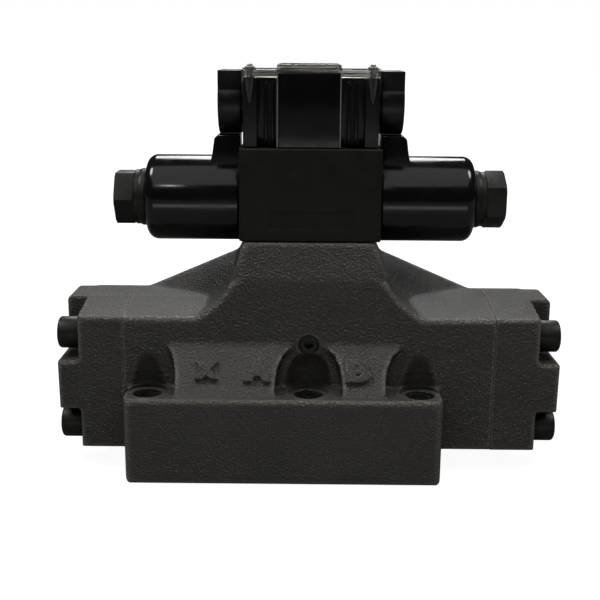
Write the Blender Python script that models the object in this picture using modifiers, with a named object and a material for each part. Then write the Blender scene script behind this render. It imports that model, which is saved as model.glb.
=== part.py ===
"""Pilot operated directional valve with a standard size 25 mounting face.

The frame is +Z up with the origin in the middle of the mounting face: X runs along the
spools, the front of the valve looks along -Y, and the mounting face is the plane Z = 0.
"""
import math

import bmesh
import bpy
from mathutils import Quaternion, Vector

SIDES = (("left", -1), ("right", 1))

# Clearances
GAP = 0.0003
SLIDE_GAP = 0.0003
HOLE_GAP = 0.0003

# Mounting pattern: the outer bolts stand in from the housing's ends
LEFT_BOLT_INSET = 0.0120
RIGHT_BOLT_INSET = 0.0358
BOLT_PITCH_Y = 0.0921
MOUNT_HOLE_RADIUS = 0.00675
SPOTFACE_RADIUS = 0.0100
SPOTFACE_DEPTH = 0.0007
PORT_PITCH = 0.0238
PORT_ROW_Y = 0.02855
PORT_RADIUS = 0.0100
PILOT_PORT_RADIUS = 0.0050
PIN_HOLE_RADIUS = 0.00375
PIN_HOLE_DEPTH = 0.0080
SEAL_RECESS_WIDTH = 0.0042
SMALL_RECESS_WIDTH = 0.0034
SEAL_RECESS_DEPTH = 0.0026
SMALL_PORT_DRILL_RADIUS = 0.0030
SMALL_PORT_MOUTH_DEPTH = 0.0080
PORT_X_Y = -0.0270
PORT_Y_Y = 0.0270
PORT_L_FROM_BOLTS = 0.0056
REAR_PIN_X = 0.0175
REAR_PIN_Y = 0.05085

# Mounting block
BLOCK_END_MARGIN = 0.0099
BLOCK_SIDE_MARGIN = 0.01295
BLOCK_HEIGHT = 0.0419
BLOCK_EDGE_RADIUS = 0.0030

# Housing of the main spool
SPOOL_Z = 0.0423
HOUSING_HALF_LENGTH = 0.0890
HOUSING_HALF_DEPTH = 0.0395
HOUSING_BOTTOM_Z = 0.0105
HOUSING_FRONT_TOP_Z = 0.0766
HOUSING_CROWN_Z = 0.0803
HOUSING_REAR_TOP_Z = 0.0735
CROWN_FRONT_Y = -0.0120
CROWN_REAR_Y = 0.0128
BORE_RADIUS = 0.0150
CHAMBER_WIDTH = 0.0140
CHAMBER_DEPTH = 0.0058
TANK_BRIDGE_RADIUS = 0.0032
TANK_BRIDGE_COVER = 0.0022
TANK_SHAFT_RADIUS = 0.0029
PASSAGE_WALL = 0.0020
PILOT_DROP_INSET = 0.0060

# Slanted pads and the scoops over the bolts
PAD_TOP_Z = 0.0640
PAD_FOOT_INSET = 0.0005
SCOOP_RADIUS = 0.0110
SCOOP_TOP_Z = 0.0600
SCOOP_WALL_PART = 0.45
LEDGE_LAYER = 0.0002
ARCH_HALF_WIDTH = 0.0164
ARCH_TOP_HALF_WIDTH = 0.0086
ARCH_SIDES = ((0.0, 0.0), (0.45, 0.12), (0.70, 0.42), (0.93, 1.0))
ARCH_SINK = 0.0004
PLUG_RADIUS = 0.0047
PLUG_LENGTH = 0.0075
PLUG_SOCKET_RADIUS = 0.0024
PLUG_Z = 0.0635
PLUG_INSET = 0.0006
PLUG_CHAMFER = 0.0006
PLUG_SOCKET_DEPTH = 0.0040
PLUG_HOLE_SPARE = 0.0015

# Neck and sloping wings
NECK_TOP_Z = 0.1124
NECK_TOP_HALF_WIDTH = 0.0314
NECK_CORNER = 0.0032
NECK_CREASE_Z = 0.0939
NECK_CREASE_HALF_WIDTH = 0.0372
NECK_SETBACK = 0.0030
NECK_FRONT_INSET = 0.0004
NECK_REAR_Y = 0.0140
NECK_FOOT_DEPTH = 0.0200
NECK_TAIL_INSET = 0.0060
NECK_BOW = 0.0038
NECK_BOW_STEPS = 6
RISE_LAPSE = 0.4
JOIN = 0.0004
SHOULDER_HALF_WIDTH = 0.0545
WING_END_INSET = 0.0055
WING_INNER_HALF_WIDTH = 0.0366
WING_TOP_Z = 0.0995

# End covers
COVER_THICKNESS = 0.0214
COVER_CROSS_HEIGHT = 0.0104
COVER_RIB_HALF_WIDTH = 0.0122
COVER_POCKET_RADIUS = 0.0138
COVER_POCKET_DEPTH = 0.0160
COVER_SEAL_RADIUS = 0.0190
COVER_SEAL_SECTION = 0.0013
COVER_BOLT_SIDE_INSET = 0.0135
COVER_BOLT_Z = 0.0230
COVER_BOLT_RADIUS = 0.0049
COVER_BOLT_HEAD_RADIUS = 0.0078
COVER_BOLT_HEAD_HEIGHT = 0.0112
COVER_BOLT_SOCKET_RADIUS = 0.0046
COVER_BOLT_SOCKET_DEPTH = 0.0050
COVER_BOLT_REACH = 0.0165

# Main spool and its springs
SPOOL_END_INSET = 0.0170
SPOOL_GROOVE_RADIUS = 0.0090
SPOOL_OVERLAP = 0.0020
SPOOL_STEM_RADIUS = 0.0060
SPOOL_STEM_LENGTH = 0.0140
MAIN_SPRING_RADIUS = 0.0095
MAIN_SPRING_WIRE = 0.0015
MAIN_SPRING_TURNS = 5

# Pilot valve body
PILOT_Y = -0.0120
PILOT_HALF_LENGTH = 0.0334
PILOT_HALF_DEPTH = 0.0235
PILOT_HEIGHT = 0.0436
PILOT_AXIS_HEIGHT = 0.0178
PILOT_EDGE_RADIUS = 0.0012
PILOT_BORE_RADIUS = 0.0058
PILOT_CHAMBER_PITCH = 0.00875
PILOT_CHAMBER_WIDTH = 0.0044
PILOT_CHAMBER_RADIUS = 0.0085
PILOT_PORT_ROW = 0.0104
PILOT_TANK_OFFSET = 0.0061
PILOT_TANK_DEPTH = 0.0040
PILOT_GALLERY_WALL = 0.0016
PILOT_DRILL_RADIUS = 0.0024
PILOT_SEAL_RADIUS = 0.0038
PILOT_SEAL_SECTION = 0.0008
PILOT_BOLT_X = 0.02025
PILOT_BOLT_Y = 0.0155
PILOT_BOLT_RADIUS = 0.0024
PILOT_BOLT_HEAD_RADIUS = 0.0042
PILOT_BOLT_HEAD_HEIGHT = 0.0050
PILOT_BOLT_REACH = 0.0100
PILOT_BOLT_SOCKET_RADIUS = 0.0023

# Pilot spool, springs, core tubes and armatures
PILOT_SPOOL_HALF_LENGTH = 0.0163
PILOT_SPOOL_GROOVE_RADIUS = 0.0034
PILOT_OVERLAP = 0.00135
PILOT_STROKE = 0.0030
PILOT_SPRING_RADIUS = 0.0036
PILOT_SPRING_WIRE = 0.0004
PILOT_SPRING_TURNS = 4
TUBE_RADIUS = 0.0098
TUBE_SEAT_DEPTH = 0.0106
TUBE_INNER_RADIUS = 0.0073
TUBE_POLE_LENGTH = 0.0287
TUBE_SPRING_POCKET = 0.0050
TUBE_SPRING_POCKET_RADIUS = 0.0050
TUBE_END_WALL = 0.0036
ARMATURE_LENGTH = 0.0194
ROD_RADIUS = 0.0016
PIN_RADIUS = 0.0023
PIN_CHAMFER = 0.0004

# Coils and their nuts
COIL_RADIUS = 0.0206
COIL_LENGTH = 0.0450
COIL_END_RADIUS = 0.0030
COIL_BLOCK_HALF_DEPTH = 0.0100
COIL_BLOCK_STEP_HEIGHT = 0.0185
COIL_BLOCK_TOP_REACH = 0.0112
COIL_BLOCK_FOOT_REACH = 0.0137
NUT_RING_RADIUS = 0.0139
NUT_RING_LENGTH = 0.0023
NUT_COLLAR_RADIUS = 0.0133
NUT_COLLAR_LENGTH = 0.0035
NUT_HEX_RADIUS = 0.0141
NUT_HEX_LENGTH = 0.0092
NUT_HEX_CHAMFER = 0.0012
NUT_END_WALL = 0.0034
NUT_STUB_RADIUS = 0.0113
NUT_STUB_LENGTH = 0.0030

# Terminal box, its covers and the conduit hubs
BOX_HALF_LENGTH = 0.0315
BOX_FRONT_INSET = 0.0010
BOX_HEIGHT = 0.0338
BOX_WALL = 0.0025
BOX_RECESS_DEPTH = 0.0105
BOX_POST_WIDTH = 0.0066
PANEL_X = -0.0010
PANEL_HALF_WIDTH = 0.0142
PANEL_THICKNESS = 0.0014
LID_THICKNESS = 0.0013
LID_CENTRE_HEIGHT = 0.0024
LID_WALL = 0.0012
LID_SCREW_RADIUS = 0.0013
LID_SCREW_HEAD_RADIUS = 0.0023
LID_SCREW_HEAD_HEIGHT = 0.0021
LID_SCREW_REACH = 0.0120
HUB_RADIUS = 0.0148
HUB_CENTRE_HEIGHT = 0.0199
HUB_TOP_RISE = 0.0010
HUB_LENGTH = 0.0108
HUB_NECK_LENGTH = 0.0010
HUB_NECK_RADIUS = 0.0110
HUB_BORE_RADIUS = 0.0085

# Places worked out from the sizes
LEFT_BOLT_X = LEFT_BOLT_INSET - HOUSING_HALF_LENGTH
RIGHT_BOLT_X = HOUSING_HALF_LENGTH - RIGHT_BOLT_INSET
BOLT_Y = BOLT_PITCH_Y / 2
FRONT_BOLTS = (LEFT_BOLT_X, 0.0, RIGHT_BOLT_X)
REAR_BOLTS = (LEFT_BOLT_X, -PORT_PITCH, RIGHT_BOLT_X)
BLOCK_LEFT_X = LEFT_BOLT_X - BLOCK_END_MARGIN
BLOCK_RIGHT_X = RIGHT_BOLT_X + BLOCK_END_MARGIN
BLOCK_HALF_DEPTH = BOLT_Y + BLOCK_SIDE_MARGIN
MAIN_PORTS = (
    ("a", -PORT_PITCH, -PORT_ROW_Y),
    ("b", PORT_PITCH, -PORT_ROW_Y),
    ("p", 0.0, PORT_ROW_Y),
    ("t", -2 * PORT_PITCH, PORT_ROW_Y),
)
SMALL_PORTS = (
    ("x", -2.5 * PORT_PITCH, PORT_X_Y),
    ("y", 1.5 * PORT_PITCH, PORT_Y_Y),
    ("l", LEFT_BOLT_X + PORT_L_FROM_BOLTS, 0.0),
)
PIN_HOLES = ((-2 * PORT_PITCH, -BOLT_Y), (REAR_PIN_X, REAR_PIN_Y))
CHAMBER_RADIUS = BORE_RADIUS + CHAMBER_DEPTH
WING_HALF_WIDTH = HOUSING_HALF_LENGTH - WING_END_INSET
SPOOL_HALF_LENGTH = HOUSING_HALF_LENGTH - SPOOL_END_INSET
COVER_BOLT_Y = HOUSING_HALF_DEPTH - COVER_BOLT_SIDE_INSET
COVER_INNER_X = HOUSING_HALF_LENGTH + GAP
COVER_OUTER_X = COVER_INNER_X + COVER_THICKNESS
COVER_CROSS_X = COVER_OUTER_X + COVER_CROSS_HEIGHT
PILOT_BOTTOM_Z = NECK_TOP_Z + GAP
PILOT_TOP_Z = PILOT_BOTTOM_Z + PILOT_HEIGHT
PILOT_Z = PILOT_BOTTOM_Z + PILOT_AXIS_HEIGHT
PILOT_FRONT_Y = PILOT_Y - PILOT_HALF_DEPTH
PILOT_REAR_Y = PILOT_Y + PILOT_HALF_DEPTH
PILOT_PORTS = (
    ("p", 0.0, -PILOT_PORT_ROW),
    ("t", 0.0, PILOT_PORT_ROW),
    ("a", -PILOT_CHAMBER_PITCH, 0.0),
    ("b", PILOT_CHAMBER_PITCH, 0.0),
)
TUBE_NOSE_X = PILOT_HALF_LENGTH - TUBE_SEAT_DEPTH
POLE_END_X = TUBE_NOSE_X + TUBE_POLE_LENGTH
ARMATURE_START_X = POLE_END_X + PILOT_STROKE + GAP
ARMATURE_END_X = ARMATURE_START_X + ARMATURE_LENGTH
TUBE_CAVITY_END_X = ARMATURE_END_X + PILOT_STROKE + GAP
COIL_START_X = PILOT_HALF_LENGTH + GAP
COIL_END_X = COIL_START_X + COIL_LENGTH
NUT_START_X = COIL_END_X + GAP
NUT_HEX_X = NUT_START_X + NUT_RING_LENGTH + NUT_COLLAR_LENGTH
NUT_END_X = NUT_HEX_X + NUT_HEX_LENGTH
TUBE_END_X = NUT_END_X - NUT_END_WALL - GAP
BOX_BOTTOM_Z = PILOT_TOP_Z + GAP
BOX_TOP_Z = BOX_BOTTOM_Z + BOX_HEIGHT
BOX_FRONT_Y = PILOT_FRONT_Y + BOX_FRONT_INSET
LID_BOTTOM_Z = BOX_TOP_Z + GAP
LID_TOP_Z = LID_BOTTOM_Z + LID_THICKNESS
LID_SCREW_X = BOX_HALF_LENGTH - BOX_POST_WIDTH / 2
LID_SCREW_Y = BOX_FRONT_Y + BOX_POST_WIDTH / 2
PANEL_LEFT_X = PANEL_X - PANEL_HALF_WIDTH
PANEL_RIGHT_X = PANEL_X + PANEL_HALF_WIDTH
HUB_Z = BOX_BOTTOM_Z + HUB_CENTRE_HEIGHT
HUB_TOP_Z = BOX_TOP_Z + HUB_TOP_RISE
COIL_BLOCK_TOP_Z = HUB_Z - HUB_RADIUS - GAP
COIL_BLOCK_LOW_Z = PILOT_Z + COIL_BLOCK_STEP_HEIGHT
HUB_START_X = BOX_HALF_LENGTH + GAP


def clear_scene():
    """Remove what a new Blender file holds."""
    for thing in list(bpy.data.objects):
        bpy.data.objects.remove(thing, do_unlink=True)


def new_collection(name):
    """A collection linked to the scene."""
    made = bpy.data.collections.new(name)
    bpy.context.scene.collection.children.link(made)
    return made


clear_scene()
PARTS = new_collection("pilot_operated_directional_valve")
CUTTERS = new_collection("cutters")


def new_material(name, colour, roughness, metallic, alpha=1.0):
    """A Principled material."""
    made = bpy.data.materials.new(name)
    made.use_nodes = True
    shader = made.node_tree.nodes["Principled BSDF"]
    shader.inputs["Base Color"].default_value = (*colour, 1.0)
    shader.inputs["Roughness"].default_value = roughness
    shader.inputs["Metallic"].default_value = metallic
    shader.inputs["Alpha"].default_value = alpha
    return made


CAST = new_material("cast_iron_painted", (0.045, 0.043, 0.038), 0.62, 0.3)
STEEL = new_material("steel", (0.42, 0.42, 0.41), 0.32, 1.0)
BLACK_STEEL = new_material("black_oxide_steel", (0.035, 0.035, 0.036), 0.42, 0.8)
PILOT_CAST = new_material("pilot_body_black", (0.018, 0.018, 0.017), 0.45, 0.4)
COIL_BLACK = new_material("coil_moulding", (0.010, 0.010, 0.010), 0.22, 0.0)
PLASTIC = new_material("black_plastic", (0.012, 0.012, 0.012), 0.35, 0.0)
CLEAR = new_material("clear_plastic", (0.85, 0.85, 0.82), 0.12, 0.0, 0.4)
RUBBER = new_material("rubber", (0.015, 0.015, 0.015), 0.7, 0.0)


def finish_object(thing, material, collection):
    """Give an object its material and its collection; a piece without material is a cutter."""
    collection.objects.link(thing)
    if material is None:
        thing.hide_render = True
        thing.display_type = "WIRE"
    else:
        thing.data.materials.append(material)
        thing.data.shade_smooth()
        thing.data.set_sharp_from_angle(angle=math.radians(35))
    return thing


def mesh_object(name, bm, material=None):
    """An object from a bmesh, which is freed."""
    mesh = bpy.data.meshes.new(name)
    bmesh.ops.recalc_face_normals(bm, faces=bm.faces)
    bm.to_mesh(mesh)
    bm.free()
    return finish_object(
        bpy.data.objects.new(name, mesh), material, PARTS if material else CUTTERS
    )


def box(name, x, y, z, material=None):
    """A box from three (low, high) ranges."""
    bm = bmesh.new()
    bmesh.ops.create_cube(bm, size=1.0)
    bmesh.ops.scale(bm, vec=(x[1] - x[0], y[1] - y[0], z[1] - z[0]), verts=bm.verts)
    middle = Vector((sum(x) / 2, sum(y) / 2, sum(z) / 2))
    bmesh.ops.translate(bm, vec=middle, verts=bm.verts)
    return mesh_object(name, bm, material)


def rod(name, start, end, radius, segments=16, material=None):
    """A straight round rod between two points, used mostly for drillings."""
    start = Vector(start)
    run = Vector(end) - start
    bm = bmesh.new()
    bmesh.ops.create_cone(
        bm, cap_ends=True, segments=segments, radius1=radius, radius2=radius, depth=run.length
    )
    turn = Vector((0, 0, 1)).rotation_difference(run)
    bmesh.ops.rotate(bm, cent=(0, 0, 0), matrix=turn.to_matrix(), verts=bm.verts)
    bmesh.ops.translate(bm, vec=start + run / 2, verts=bm.verts)
    return mesh_object(name, bm, material)


def turned(name, profile, place, towards, material=None, steps=24, ring=False, turn=0.0):
    """A turned piece: profile holds (radius, height) pairs from the top down its outer side."""
    mesh = bpy.data.meshes.new(name)
    points = [(radius, 0.0, height) for radius, height in profile]
    edges = [(i, i + 1) for i in range(len(points) - 1)]
    if ring:
        edges.append((len(points) - 1, 0))
    mesh.from_pydata(points, edges, [])
    thing = bpy.data.objects.new(name, mesh)
    screw = thing.modifiers.new("turn", "SCREW")
    screw.steps = steps
    screw.render_steps = steps
    screw.use_merge_vertices = True
    screw.merge_threshold = 0.00001
    thing.location = place
    thing.rotation_mode = "QUATERNION"
    aim = Vector((0, 0, 1)).rotation_difference(Vector(towards))
    thing.rotation_quaternion = aim @ Quaternion((0, 0, 1), turn)
    return finish_object(thing, material, PARTS if material else CUTTERS)


def as_mesh(thing):
    """Turn a curve object into a mesh object with its caps welded on."""
    bpy.context.view_layer.update()
    graph = bpy.context.evaluated_depsgraph_get()
    mesh = bpy.data.meshes.new_from_object(thing.evaluated_get(graph))
    bm = bmesh.new()
    bm.from_mesh(mesh)
    bmesh.ops.remove_doubles(bm, verts=bm.verts, dist=0.000005)
    bmesh.ops.recalc_face_normals(bm, faces=bm.faces)
    bm.to_mesh(mesh)
    bm.free()
    made = bpy.data.objects.new(thing.name + "_mesh", mesh)
    made.matrix_world = thing.matrix_world.copy()
    name = thing.name
    bpy.data.objects.remove(thing, do_unlink=True)
    made.name = name
    return made


def extruded(name, outline, low, high, across, material=None):
    """A flat outline run from low to high along an axis.

    across is "X" for (y, z) points, "Y" for (x, z) points and "Z" for (x, y) points.
    """
    curve = bpy.data.curves.new(name, "CURVE")
    curve.dimensions = "2D"
    curve.fill_mode = "BOTH"
    curve.extrude = (high - low) / 2
    spline = curve.splines.new("POLY")
    spline.points.add(len(outline) - 1)
    for point, (u, v) in zip(spline.points, outline):
        point.co = (u, v, 0.0, 1.0)
    spline.use_cyclic_u = True
    thing = bpy.data.objects.new(name, curve)
    middle = (low + high) / 2
    quarter = math.pi / 2
    if across == "X":
        thing.rotation_euler = (quarter, 0.0, quarter)
        thing.location = (middle, 0.0, 0.0)
    elif across == "Y":
        thing.rotation_euler = (quarter, 0.0, 0.0)
        thing.location = (0.0, middle, 0.0)
    else:
        thing.location = (0.0, 0.0, middle)
    bpy.context.scene.collection.objects.link(thing)
    return finish_object(as_mesh(thing), material, PARTS if material else CUTTERS)


def loft(name, sections, material=None):
    """A solid between unlike sections, each a ring with the same number of points."""
    bm = bmesh.new()
    rings = [[bm.verts.new(point) for point in section] for section in sections]
    count = len(rings[0])
    for here, there in zip(rings, rings[1:]):
        for i in range(count):
            j = (i + 1) % count
            bm.faces.new((here[i], here[j], there[j], there[i]))
    bmesh.ops.triangulate(bm, faces=bm.faces)
    bm.faces.new(rings[0])
    bm.faces.new(rings[-1])
    return mesh_object(name, bm, material)


def spring(name, radius, wire, turns, start_x, end_x, y, z, material):
    """A round wire spring along X, between two seats."""
    points_a_turn = 8
    count = turns * points_a_turn
    reach = (end_x - start_x) - 2 * wire * math.copysign(1, end_x - start_x)
    first = start_x + wire * math.copysign(1, end_x - start_x)
    curve = bpy.data.curves.new(name, "CURVE")
    curve.dimensions = "3D"
    curve.bevel_depth = wire
    curve.bevel_resolution = 0
    curve.use_fill_caps = True
    path = curve.splines.new("POLY")
    path.points.add(count)
    for i, point in enumerate(path.points):
        angle = 2 * math.pi * i / points_a_turn
        along = first + reach * i / count
        point.co = (along, y + radius * math.cos(angle), z + radius * math.sin(angle), 1.0)
    thing = bpy.data.objects.new(name, curve)
    bpy.context.scene.collection.objects.link(thing)
    return finish_object(as_mesh(thing), material, PARTS)


def boolean(thing, others, operation="DIFFERENCE"):
    """Cut or join with each of the others."""
    for other in others:
        step = thing.modifiers.new(other.name, "BOOLEAN")
        step.operation = operation
        step.solver = "EXACT"
        step.object = other
    return thing


def rounded(thing, width, segments=2, angle=30):
    """Round an object's edges with a Bevel modifier."""
    step = thing.modifiers.new("edges", "BEVEL")
    step.width = width
    step.segments = segments
    step.limit_method = "ANGLE"
    step.angle_limit = math.radians(angle)
    return thing


def housing_outline(bottom, inset=0.0):
    """The housing's (y, z) outline, which the end covers share."""
    depth = HOUSING_HALF_DEPTH - inset
    return [
        (-depth, bottom),
        (-depth, HOUSING_FRONT_TOP_Z - inset),
        (CROWN_FRONT_Y, HOUSING_CROWN_Z - inset),
        (CROWN_REAR_Y, HOUSING_CROWN_Z - inset),
        (depth, HOUSING_REAR_TOP_Z - inset),
        (depth, bottom),
    ]


def curve_between(start, bend, end, count):
    """Points of a smooth bow from start to end that leans towards bend."""
    made = []
    for i in range(count + 1):
        t = i / count
        a, b, c = (1 - t) ** 2, 2 * t * (1 - t), t * t
        made.append(tuple(a * p + b * q + c * r for p, q, r in zip(start, bend, end)))
    return made


def neck_section(y, flare, upper):
    """A ring of points at one Y, mirrored from its right half, with its foot in the housing."""
    foot = HOUSING_CROWN_Z - NECK_FOOT_DEPTH
    half = [(WING_HALF_WIDTH, foot)] + flare + upper
    right = [(x, y, z) for x, z in half]
    left = [(-x, y, z) for x, z in reversed(half)]
    return right + left


def make_neck():
    """The neck with its flared shoulders and the two sloping wings behind them."""
    crease = (NECK_CREASE_HALF_WIDTH, NECK_CREASE_Z)
    shoulder = (SHOULDER_HALF_WIDTH, HOUSING_FRONT_TOP_Z - JOIN)
    lean = (NECK_CREASE_HALF_WIDTH + NECK_BOW, (NECK_CREASE_Z + HOUSING_FRONT_TOP_Z) / 2)
    steps = NECK_BOW_STEPS
    bow = curve_between(shoulder, lean, crease, steps)
    front = [(WING_HALF_WIDTH, HOUSING_FRONT_TOP_Z - 2 * JOIN)] + bow
    foot = (WING_HALF_WIDTH, HOUSING_CROWN_Z - JOIN)
    inner = (WING_INNER_HALF_WIDTH, WING_TOP_Z)
    slope = [
        tuple(a + (b - a) * i / (steps + 1) for a, b in zip(foot, inner))
        for i in range(steps + 2)
    ]
    top = [
        (NECK_TOP_HALF_WIDTH + 0.35 * NECK_CORNER, NECK_TOP_Z - NECK_CORNER),
        (NECK_TOP_HALF_WIDTH, NECK_TOP_Z - 0.2 * NECK_CORNER),
        (NECK_TOP_HALF_WIDTH - 0.3 * NECK_CORNER, NECK_TOP_Z),
    ]
    low_top = [(x, NECK_CREASE_Z + JOIN * (i + 1)) for i, (x, _) in enumerate(top)]
    drop = HOUSING_CROWN_Z - HOUSING_REAR_TOP_Z
    rear = [(x, z - drop - RISE_LAPSE * (z - foot[1])) for x, z in slope]
    rear_top = [(x, rear[-1][1] + JOIN * (i + 1)) for i, (x, _) in enumerate(top)]
    return loft(
        "neck",
        [
            neck_section(-HOUSING_HALF_DEPTH + NECK_FRONT_INSET, front, low_top),
            neck_section(-HOUSING_HALF_DEPTH + NECK_SETBACK, front, top),
            neck_section(NECK_REAR_Y, slope, top),
            neck_section(HOUSING_HALF_DEPTH - NECK_TAIL_INSET, rear, rear_top),
        ],
    )


def arch_outline(x, left_open, right_open):
    """The (x, z) outline of the gap between two pads, over one bolt."""
    floor = BLOCK_HEIGHT + LEDGE_LAYER
    above = PAD_TOP_Z + 0.0010
    rise = PAD_TOP_Z - floor
    lean = ARCH_HALF_WIDTH - ARCH_TOP_HALF_WIDTH
    side = [(ARCH_HALF_WIDTH - lean * part, floor + rise * up) for up, part in ARCH_SIDES]
    side.append((ARCH_TOP_HALF_WIDTH, above))
    reach = 2 * ARCH_HALF_WIDTH
    open_side = [(reach, floor), (reach, above)]
    right = open_side if right_open else side
    left = open_side if left_open else side
    return [(x + u, z) for u, z in right] + [(x - u, z) for u, z in reversed(left)]


def scoop_cutters(bolts, facing):
    """The gaps between the pads and the bolt holes of one row; facing is -1 in front, 1 behind.

    One turned cutter makes a bolt's scoop in the housing wall, its spotface and its hole.
    """
    y = facing * BOLT_Y
    face = facing * (HOUSING_HALF_DEPTH - ARCH_SINK)
    beyond = facing * (BLOCK_HALF_DEPTH + 0.0050)
    row = "front" if facing < 0 else "rear"
    floor = BLOCK_HEIGHT - SPOTFACE_DEPTH
    step = BLOCK_HEIGHT + 2 * LEDGE_LAYER
    rise = SCOOP_TOP_Z - step
    made = []
    for i, x in enumerate(bolts):
        outline = arch_outline(x, i == 0, i == len(bolts) - 1)
        low, high = sorted((face, beyond))
        made.append(extruded(f"arch_{row}_{i}", outline, low, high, "Y"))
        bow = [
            (SCOOP_RADIUS * math.sin(a),
             step + rise * (SCOOP_WALL_PART + (1 - SCOOP_WALL_PART) * math.cos(a)))
            for a in (math.radians(d) for d in (0, 30, 60, 90))
        ]
        profile = bow + [(SCOOP_RADIUS, step), (SPOTFACE_RADIUS, step), (SPOTFACE_RADIUS, floor),
                         (MOUNT_HOLE_RADIUS, floor), (MOUNT_HOLE_RADIUS, -0.002), (0.0, -0.002)]
        made.append(turned(f"bolt_hole_{row}_{i}", profile, (x, y, 0), (0, 0, 1), steps=16))
    return made


def port_cutters():
    """Ports of the mounting face with their seal recesses, and the locating pin holes."""
    below = -0.002
    made = []
    for name, x, y in MAIN_PORTS:
        made.append(rod(f"port_{name}", (x, y, below), (x, y, SPOOL_Z), PORT_RADIUS, 16))
        made.append(rod(f"recess_{name}", (x, y, below), (x, y, SEAL_RECESS_DEPTH),
                        PORT_RADIUS + SEAL_RECESS_WIDTH, 16))
    tops = {"x": passage_z(), "y": passage_z(), "l": SPOOL_Z - BORE_RADIUS / 2}
    for name, x, y in SMALL_PORTS:
        made.append(rod(f"port_{name}", (x, y, below), (x, y, tops[name]),
                        SMALL_PORT_DRILL_RADIUS, 8))
        made.append(rod(f"mouth_{name}", (x, y, below), (x, y, SMALL_PORT_MOUTH_DEPTH),
                        PILOT_PORT_RADIUS, 12))
        made.append(rod(f"recess_{name}", (x, y, below), (x, y, SEAL_RECESS_DEPTH),
                        PILOT_PORT_RADIUS + SMALL_RECESS_WIDTH, 12))
    for i, (x, y) in enumerate(PIN_HOLES):
        made.append(rod(f"pin_hole_{i}", (x, y, below), (x, y, PIN_HOLE_DEPTH),
                        PIN_HOLE_RADIUS, 12))
    return made


def passage_z():
    """Height of the pilot drillings, over the spool's chambers and under the crown."""
    return SPOOL_Z + CHAMBER_RADIUS + TANK_BRIDGE_COVER + TANK_BRIDGE_RADIUS


def spool_bore_cutters():
    """The main bore, its five chambers and the bridge between the two tank chambers."""
    far = HOUSING_HALF_LENGTH + 0.002
    made = [rod("spool_bore", (-far, 0, SPOOL_Z), (far, 0, SPOOL_Z), BORE_RADIUS, 16)]
    for i in range(-2, 3):
        x = i * PORT_PITCH
        ends = (x - CHAMBER_WIDTH / 2, x + CHAMBER_WIDTH / 2)
        made.append(rod(f"chamber_{i + 2}", (ends[0], 0, SPOOL_Z), (ends[1], 0, SPOOL_Z),
                        CHAMBER_RADIUS, 16))
    top = passage_z()
    tank_x = 2 * PORT_PITCH
    made.append(rod("tank_bridge", (-tank_x - 0.002, 0, top), (tank_x + 0.002, 0, top),
                    TANK_BRIDGE_RADIUS, 8))
    for name, side in SIDES:
        x = side * tank_x
        made.append(rod(f"tank_shaft_{name}", (x, 0, SPOOL_Z + BORE_RADIUS), (x, 0, top),
                        TANK_SHAFT_RADIUS, 8))
    return made


def pilot_passage_cutters():
    """Drillings from the pilot valve's face to the end chambers and to ports X and Y."""
    top = passage_z()
    drill = PILOT_DRILL_RADIUS
    above = NECK_TOP_Z + 0.002
    made = []
    end_x = HOUSING_HALF_LENGTH - PILOT_DROP_INSET
    lane = TANK_BRIDGE_RADIUS + drill + PASSAGE_WALL
    for name, side in SIDES:
        x = side * PILOT_CHAMBER_PITCH
        made.append(rod(f"pilot_riser_{name}", (x, PILOT_Y, top), (x, PILOT_Y, above), drill, 8))
        made.append(rod(f"pilot_step_{name}", (x, PILOT_Y, top), (x, -lane, top), 0.9 * drill, 8))
        made.append(rod(f"pilot_lane_{name}", (x, -lane, top), (side * end_x, -lane, top),
                        drill, 8))
        made.append(rod(f"pilot_drop_{name}", (side * end_x, -lane, top),
                        (side * end_x, -lane, SPOOL_Z + BORE_RADIUS / 2), 0.9 * drill, 8))
    rows = {"x": -PILOT_PORT_ROW, "y": PILOT_PORT_ROW}
    levels = {"x": NECK_CREASE_Z, "y": NECK_CREASE_Z - 2 * drill - 2 * PASSAGE_WALL}
    for name, x, y in SMALL_PORTS[:2]:
        target = PILOT_Y + rows[name]
        level = levels[name]
        made.append(rod(f"supply_lane_{name}", (x, y, top), (0, y, top), drill, 8))
        made.append(rod(f"supply_shaft_{name}", (0, y, top), (0, y, level), 0.9 * drill, 8))
        made.append(rod(f"supply_step_{name}", (0, y, level), (0, target, level), drill, 8))
        made.append(rod(f"supply_top_{name}", (0, target, level), (0, target, above),
                        0.9 * drill, 8))
    return made


def cover_bolt_places():
    """The four cover bolts as (number, y, z)."""
    places = [(-COVER_BOLT_Y, COVER_BOLT_Z), (COVER_BOLT_Y, COVER_BOLT_Z),
              (-COVER_BOLT_Y, -COVER_BOLT_Z), (COVER_BOLT_Y, -COVER_BOLT_Z)]
    return [(i + 1, y, SPOOL_Z + z) for i, (y, z) in enumerate(places)]


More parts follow.
